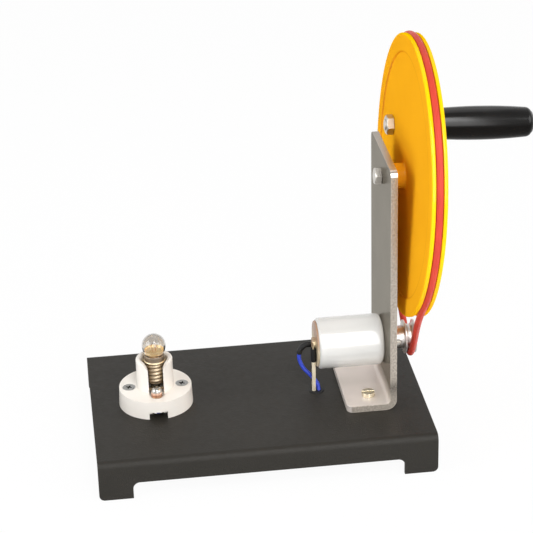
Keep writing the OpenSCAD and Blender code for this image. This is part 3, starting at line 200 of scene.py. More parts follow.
def eased(name, node, finish, body, width, segments=3):
    """A CAD node's own shape with its edges eased: its triangles are merged, flat ones are
    joined, and every edge that turns by more than an angle gets a round of that width."""
    angle = 32
    mesh = frame["nodes"][node].data.copy()
    mesh.name = name
    work = bmesh.new()
    work.from_mesh(mesh)
    bmesh.ops.remove_doubles(work, verts=work.verts, dist=2e-6)
    bmesh.ops.dissolve_limit(work, angle_limit=math.radians(0.4), verts=work.verts,
                             edges=work.edges)
    work.to_mesh(mesh)
    work.free()
    if mesh.has_custom_normals:
        mesh.attributes.remove(mesh.attributes["custom_normal"])
    obj = place(name, mesh, finish, body, [node], angle)
    bevel = obj.modifiers.new("eased edges", "BEVEL")
    bevel.width = width * MM
    bevel.segments = segments
    bevel.limit_method = "ANGLE"
    bevel.angle_limit = math.radians(angle)
    bevel.harden_normals = True


# ---------------------------------------------------------------- finishes

def add(tree, kind, **inputs):
    """A shader node of a kind, with its inputs' values given by socket name."""
    node = tree.nodes.new("ShaderNode" + kind)
    for socket, value in inputs.items():
        node.inputs[socket.replace("_", " ")].default_value = value
    return node


def maths(tree, operation, first, second):
    """Output of an operation on two numbers, each a socket or a constant."""
    node = add(tree, "Math")
    node.operation = operation
    for value, socket in ((first, node.inputs[0]), (second, node.inputs[1])):
        if isinstance(value, bpy.types.NodeSocket):
            tree.links.new(value, socket)
        else:
            socket.default_value = value
    return node.outputs[0]


def group(name, inputs, output):
    """An empty shader node group with number inputs and one output: its tree and end nodes."""
    tree = bpy.data.node_groups.new(name, "ShaderNodeTree")
    for socket, value in inputs.items():
        made = tree.interface.new_socket(name=socket, in_out="INPUT", socket_type="NodeSocketFloat")
        made.default_value = value
    tree.interface.new_socket(name=output, in_out="OUTPUT", socket_type="NodeSocketFloat")
    return tree, tree.nodes.new("NodeGroupInput"), tree.nodes.new("NodeGroupOutput")


def make_clouding():
    """Slow change over the surface: soft noise of a given size, stretched to 0 to 1."""
    tree, start, end = group("clouding", {"Scale": 60.0, "Detail": 3.0}, "Value")
    coords = add(tree, "TexCoord")
    noise = add(tree, "TexNoise", Roughness=0.55)
    spread = add(tree, "MapRange", From_Min=0.3, From_Max=0.7)
    tree.links.new(coords.outputs["Object"], noise.inputs["Vector"])
    tree.links.new(start.outputs["Scale"], noise.inputs["Scale"])
    tree.links.new(start.outputs["Detail"], noise.inputs["Detail"])
    tree.links.new(noise.outputs["Fac"], spread.inputs["Value"])
    tree.links.new(spread.outputs["Result"], end.inputs["Value"])
    return tree


def make_grain():
    """Fine grain: cell distance for grit, plus noise at twice its size for unevenness."""
    tree, start, end = group("grain", {"Scale": 1500.0, "Grit": 0.5}, "Height")
    coords = add(tree, "TexCoord")
    cells = add(tree, "TexVoronoi")
    noise = add(tree, "TexNoise", Detail=2.0)
    blend = add(tree, "Mix")
    links = tree.links
    links.new(coords.outputs["Object"], cells.inputs["Vector"])
    links.new(coords.outputs["Object"], noise.inputs["Vector"])
    links.new(start.outputs["Scale"], cells.inputs["Scale"])
    links.new(maths(tree, "MULTIPLY", start.outputs["Scale"], 0.5), noise.inputs["Scale"])
    links.new(start.outputs["Grit"], blend.inputs["Factor"])
    links.new(noise.outputs["Fac"], blend.inputs["A"])
    links.new(cells.outputs["Distance"], blend.inputs["B"])
    links.new(blend.outputs["Result"], end.inputs["Height"])
    return tree


def make_drawn_lines():
    """Lines left by rolling or turning: noise that is stretched by a factor for each axis."""
    tree, start, end = group("drawn lines", {"X": 1.0, "Y": 1.0, "Z": 1.0}, "Height")
    coords = add(tree, "TexCoord")
    stretch = add(tree, "CombineXYZ")
    scaled = add(tree, "VectorMath")
    scaled.operation = "MULTIPLY"
    noise = add(tree, "TexNoise", Scale=1.0, Detail=3.0, Roughness=0.6)
    for axis in "XYZ":
        tree.links.new(start.outputs[axis], stretch.inputs[axis])
    tree.links.new(coords.outputs["Object"], scaled.inputs[0])
    tree.links.new(stretch.outputs[0], scaled.inputs[1])
    tree.links.new(scaled.outputs[0], noise.inputs["Vector"])
    tree.links.new(noise.outputs["Fac"], end.inputs["Height"])
    return tree


def make_worn_edges():
    """Mask of outer edges: how far the normal that is averaged over a small radius leaves
    the surface's own normal, broken up by noise."""
    tree, start, end = group("worn edges", {"Radius": 0.0006, "Break": 900.0}, "Mask")
    coords = add(tree, "TexCoord")
    surface = add(tree, "NewGeometry")
    averaged = add(tree, "Bevel")
    averaged.samples = 8
    dot = add(tree, "VectorMath")
    dot.operation = "DOT_PRODUCT"
    edge = add(tree, "MapRange", From_Min=0.995, From_Max=0.8)
    noise = add(tree, "TexNoise", Detail=3.0)
    patches = add(tree, "MapRange", From_Min=0.35, From_Max=0.6)
    links = tree.links
    links.new(start.outputs["Radius"], averaged.inputs["Radius"])
    links.new(averaged.outputs[0], dot.inputs[0])
    links.new(surface.outputs["Normal"], dot.inputs[1])
    links.new(dot.outputs["Value"], edge.inputs["Value"])
    links.new(coords.outputs["Object"], noise.inputs["Vector"])
    links.new(start.outputs["Break"], noise.inputs["Scale"])
    links.new(noise.outputs["Fac"], patches.inputs["Value"])
    both = maths(tree, "MULTIPLY", edge.outputs["Result"], patches.outputs["Result"])
    links.new(both, end.inputs["Mask"])
    return tree


CLOUDING, GRAIN = make_clouding(), make_grain()
DRAWN_LINES, WORN_EDGES = make_drawn_lines(), make_worn_edges()


class Finish:
    """A material with one Principled shader, and short ways to vary it over the surface."""

    def __init__(self, name, colour, roughness, metallic=0.0, **constants):
        self.material = bpy.data.materials.new(name)
        self.material.use_nodes = True
        self.tree = self.material.node_tree
        self.shader = self.tree.nodes["Principled BSDF"]
        self.plain, self.colour = (*colour, 1), None
        constants.update(Base_Color=self.plain, Roughness=roughness, Metallic=metallic)
        for socket, value in constants.items():
            self.shader.inputs[socket.replace("_", " ")].default_value = value

    def use(self, effect, **values):
        """Places a shared effect with its own values and returns its output."""
        node = add(self.tree, "Group")
        node.node_tree = effect
        for socket, value in values.items():
            node.inputs[socket].default_value = value
        return node.outputs[0]

    def tint(self, mask, other):
        """Mixes another colour in where the mask is high."""
        mix = add(self.tree, "Mix")
        mix.data_type = "RGBA"
        factor, first, second, result = mix.inputs[0], mix.inputs[6], mix.inputs[7], mix.outputs[2]
        if self.colour is None:
            first.default_value = self.plain
        else:
            self.tree.links.new(self.colour, first)
        second.default_value = (*other, 1)
        self.tree.links.new(mask, factor)
        self.colour = result
        self.tree.links.new(result, self.shader.inputs["Base Color"])

    def spread(self, mask, low, high):
        """Values from low where the mask is 0 to high where it is 1."""
        ramp = add(self.tree, "MapRange", To_Min=low, To_Max=high)
        self.tree.links.new(mask, ramp.inputs["Value"])
        return ramp.outputs["Result"]

    def dull(self, mask, low, high, zone=None, there=(0, 0)):
        """Roughness from low where the mask is 0 to high where it is 1, and between the two
        other values where a zone is given."""
        value = self.spread(mask, low, high)
        if zone:
            mix = add(self.tree, "Mix")
            for source, socket in zip((zone, value, self.spread(mask, *there)), (0, 2, 3)):
                self.tree.links.new(source, mix.inputs[socket])
            value = mix.outputs[0]
        self.tree.links.new(value, self.shader.inputs["Roughness"])

    def times(self, first, second):
        """Product of two masks."""
        return maths(self.tree, "MULTIPLY", first, second)

    def glossy_when_faced(self, weight):
        """Coat that fades out where the surface is seen at a low angle."""
        angle = add(self.tree, "LayerWeight", Blend=0.5)
        ramp = add(self.tree, "MapRange", From_Min=0.35, From_Max=0.7, To_Min=weight, To_Max=0.0)
        self.tree.links.new(angle.outputs["Facing"], ramp.inputs["Value"])
        self.tree.links.new(ramp.outputs["Result"], self.shader.inputs["Coat Weight"])

    def above(self, low, high):
        """Mask of the parts that lie above a height: 0 at the low one and 1 at the high one."""
        return self.band((0, 0, 0), (0, 0, 0), Z_AXIS, low, high)

    def raised(self, height, distance, strength=1.0):
        """Bump from a height, added over any bump that is there already."""
        bump = add(self.tree, "Bump", Strength=strength, Distance=distance)
        socket = self.shader.inputs["Normal"]
        if socket.is_linked:
            self.tree.links.new(socket.links[0].from_socket, bump.inputs["Normal"])
        self.tree.links.new(height, bump.inputs["Height"])
        self.tree.links.new(bump.outputs["Normal"], socket)

    def mottled(self, scale, detail, other):
        """Mixes another colour in through clouding of a scale and detail."""
        self.tint(self.use(CLOUDING, Scale=scale, Detail=detail), other)

    def patchy(self, scale, detail, *values):
        """Roughness through clouding of a scale and detail, with values as dull() takes them."""
        self.dull(self.use(CLOUDING, Scale=scale, Detail=detail), *values)

    def grained(self, scale, grit, distance, strength):
        """Bump from grain of a scale and grit."""
        self.raised(self.use(GRAIN, Scale=scale, Grit=grit), distance, strength)

    def machined(self, edge, rough, lines=(900.0, 900.0, 900.0)):
        """What worked metal has: edges rubbed to a colour, patchy shine and fine lines."""
        self.tint(self.use(WORN_EDGES, Radius=0.0003, Break=2500.0), edge)
        self.patchy(500.0, 3.0, *rough)
        self.raised(self.use(DRAWN_LINES, X=lines[0], Y=lines[1], Z=lines[2]), 0.00001, 0.4)

    def band(self, centre, turn, axes, start, end):
        """Mask by distance from a line or plane: Object coordinates are moved to a centre and
        turned, kept on the named axes only, and their length is spread from 0 at the start to
        1 at the end, both in millimetres."""
        coords = add(self.tree, "TexCoord")
        local = add(self.tree, "Mapping", Location=tuple(centre), Rotation=turn)
        local.vector_type = "TEXTURE"
        kept = add(self.tree, "VectorMath")
        kept.operation = "MULTIPLY"
        kept.inputs[1].default_value = tuple(axes)
        size = add(self.tree, "VectorMath")
        size.operation = "LENGTH"
        spread = add(self.tree, "MapRange", From_Min=start * MM, From_Max=end * MM)
        self.tree.links.new(coords.outputs["Object"], local.inputs["Vector"])
        self.tree.links.new(local.outputs[0], kept.inputs[0])
        self.tree.links.new(kept.outputs[0], size.inputs[0])
        self.tree.links.new(size.outputs["Value"], spread.inputs["Value"])
        return spread.outputs["Result"]


def black_powder_coat():
    """Fine textured powder coat, a little lighter where its edges are rubbed."""
    f = Finish("black powder coat", (0.0210, 0.0190, 0.0155), 0.5, Specular_IOR_Level=0.22)
    f.mottled(45.0, 4.0, (0.0240, 0.0216, 0.0178))
    f.tint(f.use(WORN_EDGES, Radius=0.0009), (0.060, 0.055, 0.048))
    f.patchy(400.0, 3.0, 0.46, 0.53)
    f.grained(1700.0, 0.55, 0.00013, 0.7)
    return f.material


def rolled_plate():
    """Rolled steel plate with lines along its length: a satin foot painted paler and less metallic
    and a shinier upright painted darker and greyer, which is painted light for the foot that
    faces up; and mottled ground edges at the front and rear."""
    f = Finish("rolled plate", (1.0, 0.915, 0.875), 0.3, 1.0,
               Specular_Tint=(0.315, 0.312, 0.285, 1))
    upright = f.above(22.5, 30)
    # Painted light: the upright is tinted darker and greyer than the foot.
    f.tint(upright, (0.70, 0.645, 0.595))
    f.mottled(30.0, 2.0, (0.735, 0.68, 0.625))
    ground = f.band((0, 0, 0), (0, 0, 0), Y_AXIS, 24.2, 24.45)
    f.tint(ground, (0.385, 0.335, 0.285))
    f.tint(f.times(ground, f.use(CLOUDING, Scale=1100.0, Detail=4.0)), (0.60, 0.545, 0.475))
    f.tint(f.use(WORN_EDGES, Radius=0.0005, Break=1800.0), (0.90, 0.84, 0.76))
    f.patchy(60.0, 2.0, 0.56, 0.62, upright, (0.19, 0.24))
    # Painted light: a less metallic foot scatters more light and looks paler.
    f.tree.links.new(f.spread(upright, 0.76, 1.0), f.shader.inputs["Metallic"])
    f.raised(f.use(DRAWN_LINES, X=900.0, Y=2600.0, Z=60.0), 0.00001, 0.4)
    return f.material


def moulded_yellow():
    """Glossy moulded wheel: flow clouds on its faces, a painted highlight that makes the upper
    part of its rim brighter and yellower, and painted shade in the corner of each face's step."""
    f = Finish("moulded yellow", (1.0, 0.465, 0.015), 0.3, Specular_IOR_Level=0.0,
               Coat_Roughness=0.14)

    def outside(start, end):
        """Mask of what lies outside a radius round the leaning axle."""
        return f.band(to_frame(PIVOT), (0, LEAN, 0), Y_AXIS + Z_AXIS, start, end)

    f.mottled(28.0, 2.0, (0.96, 0.43, 0.013))
    f.glossy_when_faced(0.4)
    # Painted highlight: only the upper part of the rim is tinted brighter and yellower.
    f.tint(f.times(outside(61.2, 61.9), f.above(62, 110)), (1.0, 0.60, 0.001))
    # Painted shade: a darker ring in the corner of each face's step.
    step = f.times(outside(53.4, 54.0), f.spread(outside(54.2, 54.9), 0.6, 0))
    f.tint(step, (0.72, 0.25, 0.008))
    f.patchy(160.0, 3.0, 0.30, 0.42)
    f.grained(500.0, 0.2, 0.00003, 0.35)
    return f.material


def red_belt():
    """Extruded round belt with faint scuffs."""
    f = Finish("red belt", (0.64, 0.060, 0.034), 0.42, Specular_IOR_Level=0.22)
    f.mottled(90.0, 4.0, (0.57, 0.050, 0.032))
    f.patchy(350.0, 3.0, 0.34, 0.52)
    f.grained(1200.0, 0.3, 0.00004, 0.5)
    return f.material


def shrunk_white():
    """Shiny white sleeve with slow waves from shrinking, and painted shade greying its upper half.
    """
    f = Finish("shrunk white sleeve", (0.74, 0.74, 0.72), 0.2, Coat_Weight=1.0,
               Coat_Roughness=0.05)
    # Painted shade: the upper half is tinted greyer.
    f.tint(f.above(40, 50), (0.66, 0.66, 0.64))
    f.tint(f.spread(f.use(CLOUDING, Scale=50.0, Detail=2.0), 0, 0.4), (0.68, 0.68, 0.66))
    f.patchy(220.0, 2.0, 0.35, 0.45)
    f.raised(f.use(CLOUDING, Scale=90.0, Detail=1.0), 0.00003, 0.2)
    return f.material


def moulded_white():
    """Moulded holder: warm white, satin, faintly grained and a little darker in places."""
    f = Finish("moulded white", (0.90, 0.85, 0.785), 0.34)
    f.mottled(70.0, 3.0, (0.87, 0.825, 0.765))
    f.patchy(240.0, 3.0, 0.28, 0.42)
    f.grained(900.0, 0.3, 0.00003, 0.4)
    return f.material


def moulded_cream():
    """Cream end cap that browns towards its top."""
    f = Finish("moulded cream", (0.70, 0.60, 0.42), 0.4)
    f.mottled(240.0, 3.0, (0.60, 0.48, 0.31))
    f.tint(f.above(42.5, 46.5), (0.40, 0.24, 0.15))
    f.patchy(300.0, 2.0, 0.32, 0.5)
    f.grained(1400.0, 0.3, 0.00003, 0.4)
    return f.material


def shrunk_black():
    """Black shrink tube with fine grain, rubbed to a softer shine in patches."""
    f = Finish("shrink tube black", (0.012, 0.012, 0.012), 0.5, Specular_IOR_Level=0.24)
    f.mottled(80.0, 4.0, (0.018, 0.018, 0.018))
    f.patchy(130.0, 4.0, 0.4, 0.6)
    f.grained(1600.0, 0.4, 0.00005, 0.5)
    return f.material


def grip_black():
    """Grained black grip with a coat on its upper side only, a painted sheen for the highlight from
    the lamps above; the upper side is found by height over a line below the grip."""
    f = Finish("grip black", (0.0035, 0.0031, 0.0028), 0.2, Specular_IOR_Level=0.08,
               Coat_Roughness=0.18)
    f.mottled(80.0, 4.0, (0.0052, 0.0046, 0.0042))
    drop = 10
    below = leaned(CRANK + PIVOT[0] * X_AXIS) - drop * Z_AXIS
    # Painted sheen: a coat only on the upper side, for the lamps' highlight.
    painted_sheen = f.band(to_frame(below), (0, LEAN, 0), Z_AXIS, drop + 0.6, drop + 4.2)
    patches = f.use(CLOUDING, Scale=130.0, Detail=4.0)
    coat = f.times(painted_sheen, f.spread(patches, 0.62, 0.48))
    f.tree.links.new(coat, f.shader.inputs["Coat Weight"])
    f.dull(patches, 0.16, 0.23)
    f.grained(1000.0, 0.4, 0.00005, 0.5)
    return f.material


def plated(name, colour, rough=(0.14, 0.28), *lines):
    """Plated or bare metal: patchy shine, fine lines and brighter rubbed edges."""
    darker, lighter = 0.82, 1.2
    f = Finish(name, colour, 0.2, 1.0)
    f.mottled(300.0, 3.0, tuple(darker * c for c in colour))
    f.machined(tuple(min(1, lighter * c) for c in colour), rough, *lines)
    return f.material


def lamp_cap_brass():
    """Thin rolled brass of the lamp's cap, tinted darker on the collar, and with a painted
    highlight that tints the bead below it paler.
    """
    f = Finish("lamp cap brass", (0.50, 0.405, 0.285), 0.4, 1.0)
    f.mottled(300.0, 3.0, (0.41, 0.325, 0.225))
    collar = f.above(40.3, 40.5)
    f.tint(collar, (0.30, 0.24, 0.18))
    # Painted highlight: the bead is tinted paler than the brass round it.
    f.tint(f.times(f.above(39.5, 39.7), f.spread(collar, 1, 0)), (0.86, 0.72, 0.48))
    f.patchy(500.0, 3.0, 0.40, 0.52)
    f.raised(f.use(DRAWN_LINES, X=200.0, Y=200.0, Z=3500.0), 0.00001, 0.4)
    return f.material


def sunk_screw():
    """Grey countersunk screw, with painted shade darkening its recess."""
    f = Finish("sunk screw", (0.07, 0.07, 0.068), 0.3, 1.0)
    # Painted shade: below the head's top the screw keeps a dark colour, which darkens its recess.
    f.tint(f.above(26.55, 26.8), (0.36, 0.355, 0.34))
    f.machined((0.72, 0.71, 0.68), (0.25, 0.4))
    return f.material


def clamp_screw():
    """Bright dome whose coppery side is a painted reflection of the brass round it."""
    # Painted reflection: the coppery base colour of the side; the dome's top is tinted grey.
    f = Finish("clamp screw", (0.82, 0.55, 0.43), 0.2, 1.0)
    f.tint(f.above(28.3, 28.8), (0.46, 0.445, 0.41))
    f.machined((0.80, 0.77, 0.70), (0.16, 0.3))
    return f.material


def lead_cover(name, colour, other):
    """Thin soft insulation of a lead, slightly uneven."""
    f = Finish(name, colour, 0.4)
    f.mottled(350.0, 3.0, other)
    f.patchy(600.0, 2.0, 0.32, 0.5)
    f.grained(1800.0, 0.3, 0.00003, 0.4)
    return f.material


def lamp_globe_glass():
    """Thin blown glass with a slow ripple; its amber by the collar is a painted reflection of the
    brass, and its greying towards the top is painted shade.
    """
    f = Finish("lamp glass", (0.98, 0.97, 0.95), 0.0, Transmission_Weight=1.0, IOR=1.47)
    # Painted reflection: amber of the brass near the collar.
    f.tint(f.spread(f.above(43.3, 44.4), 1, 0), (0.97, 0.78, 0.50))
    # Painted shade: greyer towards the top.
    f.tint(f.above(45.0, 46.4), (0.70, 0.67, 0.63))
    f.tint(f.above(49.0, 53.0), (0.62, 0.59, 0.555))
    f.raised(f.use(CLOUDING, Scale=70.0, Detail=0.0), 0.00003, 0.15)
    return f.material


def fired(name, colour, other, rough, metallic=0.0):
    """Fired or cast stuff such as magnets, carbon and solder: mottled and finely grained."""
    f = Finish(name, colour, rough[0], metallic)
    f.mottled(400.0, 4.0, other)
    f.patchy(500.0, 3.0, *rough)
    f.grained(2000.0, 0.5, 0.00004, 0.5)
    return f.material


def stem_painted_light():
    """Stem painted with the warm reflection of the brass round it, and with a faint glow that is
    painted light for what the globe gathers on it."""
    # Painted reflection and light: the gold colour stands for the brass round it, the glow for the
    # light that the globe gathers.
    f = Finish("stem painted light", (1.0, 0.86, 0.56), 0.35, 1.0, Emission_Color=(1.0, 0.70, 0.38, 1),
               Emission_Strength=0.16)
    f.mottled(400.0, 3.0, (0.98, 0.76, 0.44))
    f.patchy(500.0, 3.0, 0.3, 0.45)
    f.grained(2000.0, 0.5, 0.00003, 0.4)
    return f.material


def wound_copper():
    """Enamelled wire, as fine lines across each coil."""
    f = Finish("wound copper", (0.62, 0.20, 0.07), 0.35, 0.8)
    f.mottled(500.0, 3.0, (0.45, 0.13, 0.05))
    f.patchy(700.0, 2.0, 0.28, 0.45)
    f.raised(f.use(DRAWN_LINES, X=200.0, Y=4500.0, Z=4500.0), 0.0001, 0.8)
    return f.material


COAT, PLATE, YELLOW, RED = black_powder_coat(), rolled_plate(), moulded_yellow(), red_belt()
SLEEVE, HOLDER, CREAM = shrunk_white(), moulded_white(), moulded_cream()
GRIP, SHRINK = grip_black(), shrunk_black()
STEEL = plated("bright steel", (0.64, 0.61, 0.56), (0.30, 0.42))
WARM_STEEL = plated("passivated steel", (0.80, 0.74, 0.58))
ALUMINIUM = plated("turned aluminium", (0.76, 0.72, 0.69), (0.28, 0.42), (5200.0, 150.0, 150.0))
BRASS = plated("contact brass", (0.60, 0.50, 0.33), (0.42, 0.58))
COPPER = plated("copper", (0.75, 0.36, 0.20), (0.2, 0.4))
CORE = plated("core steel", (0.34, 0.34, 0.35), (0.35, 0.55), (4000.0, 200.0, 200.0))
BLUE = lead_cover("blue lead", (0.035, 0.075, 0.62), (0.028, 0.055, 0.50))
CREAM_LEAD = lead_cover("cream lead", (0.88, 0.79, 0.61), (0.80, 0.70, 0.52))
CAP_BRASS, SUNK, CLAMP = lamp_cap_brass(), sunk_screw(), clamp_screw()
GLASS = lamp_globe_glass()
STEM = stem_painted_light()
BLACK_GLASS = fired("black cap glass", (0.014, 0.012, 0.018), (0.03, 0.026, 0.03), (0.08, 0.2))
SOLDER = fired("solder", (0.56, 0.56, 0.54), (0.42, 0.42, 0.40), (0.3, 0.5), 1.0)
TUNGSTEN = fired("tungsten", (0.32, 0.30, 0.28), (0.22, 0.20, 0.19), (0.3, 0.5), 1.0)
MAGNET = fired("ferrite", (0.055, 0.055, 0.057), (0.08, 0.08, 0.08), (0.5, 0.7))
CARBON = fired("carbon", (0.03, 0.03, 0.032), (0.05, 0.05, 0.05), (0.5, 0.7))
WINDING = wound_copper()


# ---------------------------------------------------------------- leads

def lead_paths():
    """Centre lines of the two leads: they fall from their tabs to the hole in the base, turn
    into a run under it, bow to their terminal's side and rise to it."""
    steps = 8  # points on each stretch between two points of a route
    tab_x, tab_r, tab_turn = 25.9, 5.1, math.radians(60)
    tab_y, tab_up = tab_r * math.sin(tab_turn), tab_r * math.cos(tab_turn)
    hole_y, run_z = HOLE[1], PLATE_Z - 3.3
    turn_r, rise_r, bow = 3.8, 4.2, 1.7
    aside = 0.6  # least distance of a lead's fall from its tab, along X
    clamp_z = TOP_Z + 0.8

    def route(y, z, beside, share, turn_y, end_y):
        """Points from a tab at (y, z): beside it while falling by shares of the height, then
        round to turn_y under the base, and up at end_y."""
        beside, share = np.array(beside), np.array(share)
        fall = np.stack([tab_x + beside, y + (hole_y - y) * np.minimum(1, share ** 2),
                         z + (TOP_Z - z) * share], 1)
        a = np.radians([30, 60, 90])
        x = tab_x + (beside[-1] if beside[-1] > 1 else aside)
        turn = np.stack([x - turn_r * (1 - np.cos(a)), hole_y + (turn_y - hole_y) * a / a[-1],
                         run_z + turn_r * (1 - np.sin(a))], 1)
        s = np.array([0.15, 0.36, 0.6, 0.84])
        run = np.stack([x - turn_r + (LAMP[0] + rise_r - x + turn_r) * s,
                        turn_y + (end_y - turn_y) * (1 - (1 - s) ** bow), np.full(4, run_z)], 1)
        a = np.radians([0, 30, 60, 90])
        rise = np.stack([LAMP[0] + rise_r * (1 - np.sin(a)), np.full(4, end_y),
                         run_z + rise_r * (1 - np.cos(a))], 1)
        z = run_z + rise_r + (clamp_z - run_z - rise_r) * np.array([0.5, 1])
        end = np.stack([np.full(2, LAMP[0]), np.full(2, end_y), z], 1)
        return np.concatenate([fall, turn, run, rise, end])

    share = np.array([0, 0.16, 0.32, 0.54, 0.77, 0.98])
    white = route(-tab_y, MOTOR_Z + tab_up - 4.1, aside * (0.4 + 0.6 * share), share, 1.0, 13.4)
    loop = [0, -2.34, -4.63, -5.2, -3.54, -0.41, 2.29, 2.9]
    share = [0, 0.01, 0.12, 0.31, 0.52, 0.69, 0.85, 1.02]
    blue = route(tab_y, MOTOR_Z - tab_up, loop, share, -4.6, -7.7)
    return smooth_route(white, steps), smooth_route(blue, steps)


def lead(name, path, node, finish):
    """A lead: a round tube along its path, closed at both ends."""
    obj = piece(name, [capped(swept(path, LEAD_R))], finish, "frame", [node])


def shrink_tube(path, rows):
    """Black tube over a lead's first rows and over its tab: outside and inside walls along
    the path, joined at both ends. The outside is drawn in a little at each end, as a bell curve
    of the share along the path, and has slight waves."""
    outer_r, inner_r, wave, wave_rate = 1.31, 0.97, 0.03, 21
    width, first_in, last_in = 0.05, 0.10, 0.16  # of the bell curves: width and depths
    head = path[:1] - unit(path[1:2] - path[:1]) * np.linspace(1.5, 0.2, 4)[:, None]
    line = np.concatenate([head, path[:rows]])
    along = np.linspace(0, 1, len(line))
    outer = outer_r - last_in * np.exp(-((along - 1) / width) ** 2)
    outer = outer - first_in * np.exp(-(along / width) ** 2) + wave * np.sin(along * wave_rate)
    return np.concatenate([swept(line, outer), swept(line, inner_r)[::-1]])


def hole_shade_plug_grid():
    """Black plug in the lead hole, put there as painted shade so that the hole shows dark: a plug
    under a low rounded flange, turned from a line of (height, radius) round the hole's axis. The
    flange is a quarter of an ellipse."""
    low, seat, plug_r = PLATE_Z - 0.3, TOP_Z + 0.02, 2.6
    middle_r, half, rise = 2.95, 0.5, 0.45  # of the ellipse
    a = np.radians(np.linspace(0, 90, 8))
    flange = np.stack([seat + rise * np.sin(a), middle_r + half * np.cos(a)], 1)
    line = np.concatenate([[[low, 0], [low, 2.3], [low + 0.2, plug_r], [seat, plug_r]], flange,
                           [[TOP_Z + 0.25, 2.2], [TOP_Z + 0.2, 0]]])
    return turned(line, HOLE, Z_AXIS, 48)


white_path, blue_path = lead_paths()
lead("white_lead", white_path, "lead_white", CREAM_LEAD)
lead("blue_lead", blue_path, "lead_blue", BLUE)
piece("lead_shrink_tubes", [shrink_tube(white_path, 13), shrink_tube(blue_path, 21)], SHRINK,
      "frame", ["lead_sleeves"], wrap_rows=True)
# Painted shade: a black plug that makes the lead hole show dark.
piece("lead_hole_shade_plug", [hole_shade_plug_grid()], SHRINK, "frame", [])


# ---------------------------------------------------------------- belt, wheel and crank

def belt_path():
    """Closed centre line: an arc over the leaning wheel, a strand that eases from the wheel's
    plane to the pulley's plane, an arc under the pulley and the second strand back."""
    centre = PIVOT + (BELT_X - PIVOT[0]) * np.array([math.cos(LEAN), 0, -math.sin(LEAN)])
    tilt = math.asin((BELT_R - BELT_PULLEY_R) / (centre[2] - MOTOR_Z))

    def on_wheel(a):
        """Points of the wheel's circle at angles from the rear, over the top."""
        return centre + BELT_R * np.stack([np.sin(a) * math.sin(LEAN), np.cos(a),
                                           np.sin(a) * math.cos(LEAN)], -1)

    def on_pulley(a):
        """Points of the pulley's circle at the same kind of angles."""
        return np.stack([np.full_like(a, BELT_X), BELT_PULLEY_R * np.cos(a),
                         MOTOR_Z + BELT_PULLEY_R * np.sin(a)], -1)

    def strand(a, share):
        """Points at shares of the straight line between both circles at an angle, each moved
        along X from the wheel's plane to the pulley's by an S-curve of its share."""
        ends = on_wheel(np.array([a])), on_pulley(np.array([a]))
        p = ends[0] * (1 - share[:, None]) + ends[1] * share[:, None]
        ease = share ** 2 * (3 - 2 * share)
        plane_x = centre[0] + (p[:, 2] - centre[2]) * math.tan(LEAN)
        p[:, 0] = plane_x * (1 - ease) + BELT_X * ease
        return p

    front, share = math.pi + tilt, np.linspace(0, 1, 42)[1:-1]
    return np.concatenate([
        on_wheel(np.linspace(-tilt, front, 220)), strand(front, share),
        on_pulley(np.linspace(front, 2 * math.pi - tilt, 48)), strand(-tilt, share[::-1])])


def round_belt():
    """The belt: a circle along its centre line, thicker at the weld on the rear strand, as a
    bell curve of the count of points from the weld."""
    before_end, height, width = 20, 0.07, 0.8  # of the weld: place, height and width
    path = belt_path()
    from_weld = np.arange(len(path)) - (len(path) - before_end)
    weld = height * np.exp(-(from_weld / width) ** 2)
    return swept(path, BELT_THICK / 2 + weld, 20, X_AXIS, closed=True)


def wheel_profile():
    """Section of the wheel, (along, radius): a hub, a recess in each face and a grooved rim."""
    hub_r, recess_r, rim_r, groove_r = 5.5, 54, 62.2, 59.8
    left = [(62.24, BORE_R), (62.24, hub_r), (68.1, hub_r), (68.1, recess_r), (67.5, recess_r),
            (67.5, rim_r), (69.22, rim_r), (69.22, groove_r)]
    right = [(72.58, groove_r), (72.58, rim_r), (74.3, rim_r), (74.3, recess_r),
             (73.7, recess_r), (73.7, hub_r), (74.9, hub_r), (74.9, BORE_R)]
    left_radii = [0.15, 0.4, 0.7, 0.28, 0.28, 0.5, 0.25, 1.67]
    right_radii = [1.67, 0.25, 0.5, 0.28, 0.28, 0.4, 0.3, 0.15]
    return rounded(left + right, left_radii + right_radii)


def grip_profile():
    """Section of the grip: a curve that thins from its belly as the square of the distance from
    it, a rounded outer end, a sunk seat for the bolt's head and the bore."""
    x0, length, belly = 74.5, 57.0, 0.58 * 57.0
    belly_r, end_r, seat_r, seat_l = 7.7, 3, 4.7, 3.8
    mouth_r = seat_r + 0.25  # where the seat's chamfer meets the end
    x = np.linspace(0, length - end_r, 60)
    thinner = np.where(x < belly, 2.0 * ((belly - x) / belly) ** 2,
                       1.2 * ((x - belly) / (length - belly)) ** 2)
    radius = belly_r - thinner
    inner = np.array([[0, BORE_R], [0, 5.2], [0.12, 5.5]])
    outer = np.stack([x, radius], 1)[1:]
    a = np.radians(np.linspace(6, 90, 14))
    end = np.stack([length - end_r + end_r * np.sin(a), radius[-1] - end_r + end_r * np.cos(a)], 1)
    end = end[end[:, 1] > mouth_r]
    seat = np.array([[length, mouth_r], [length - 0.25, seat_r], [length - seat_l, seat_r],
                     [length - seat_l, BORE_R]])
    return np.concatenate([inner, outer, end, seat]) + [x0, 0]


piece("drive_belt", [round_belt()], RED, "frame", ["belt"], wrap_rows=True)
piece("crank_wheel", [leaned(turned(wheel_profile(), PIVOT * Z_AXIS, steps=240))], YELLOW,
      "wheel", ["wheel"], wrap_rows=True)
piece("crank_grip", [leaned(turned(grip_profile(), CRANK, steps=80))], GRIP, "grip", ["grip"],
      wrap_rows=True)


# ---------------------------------------------------------------- generator

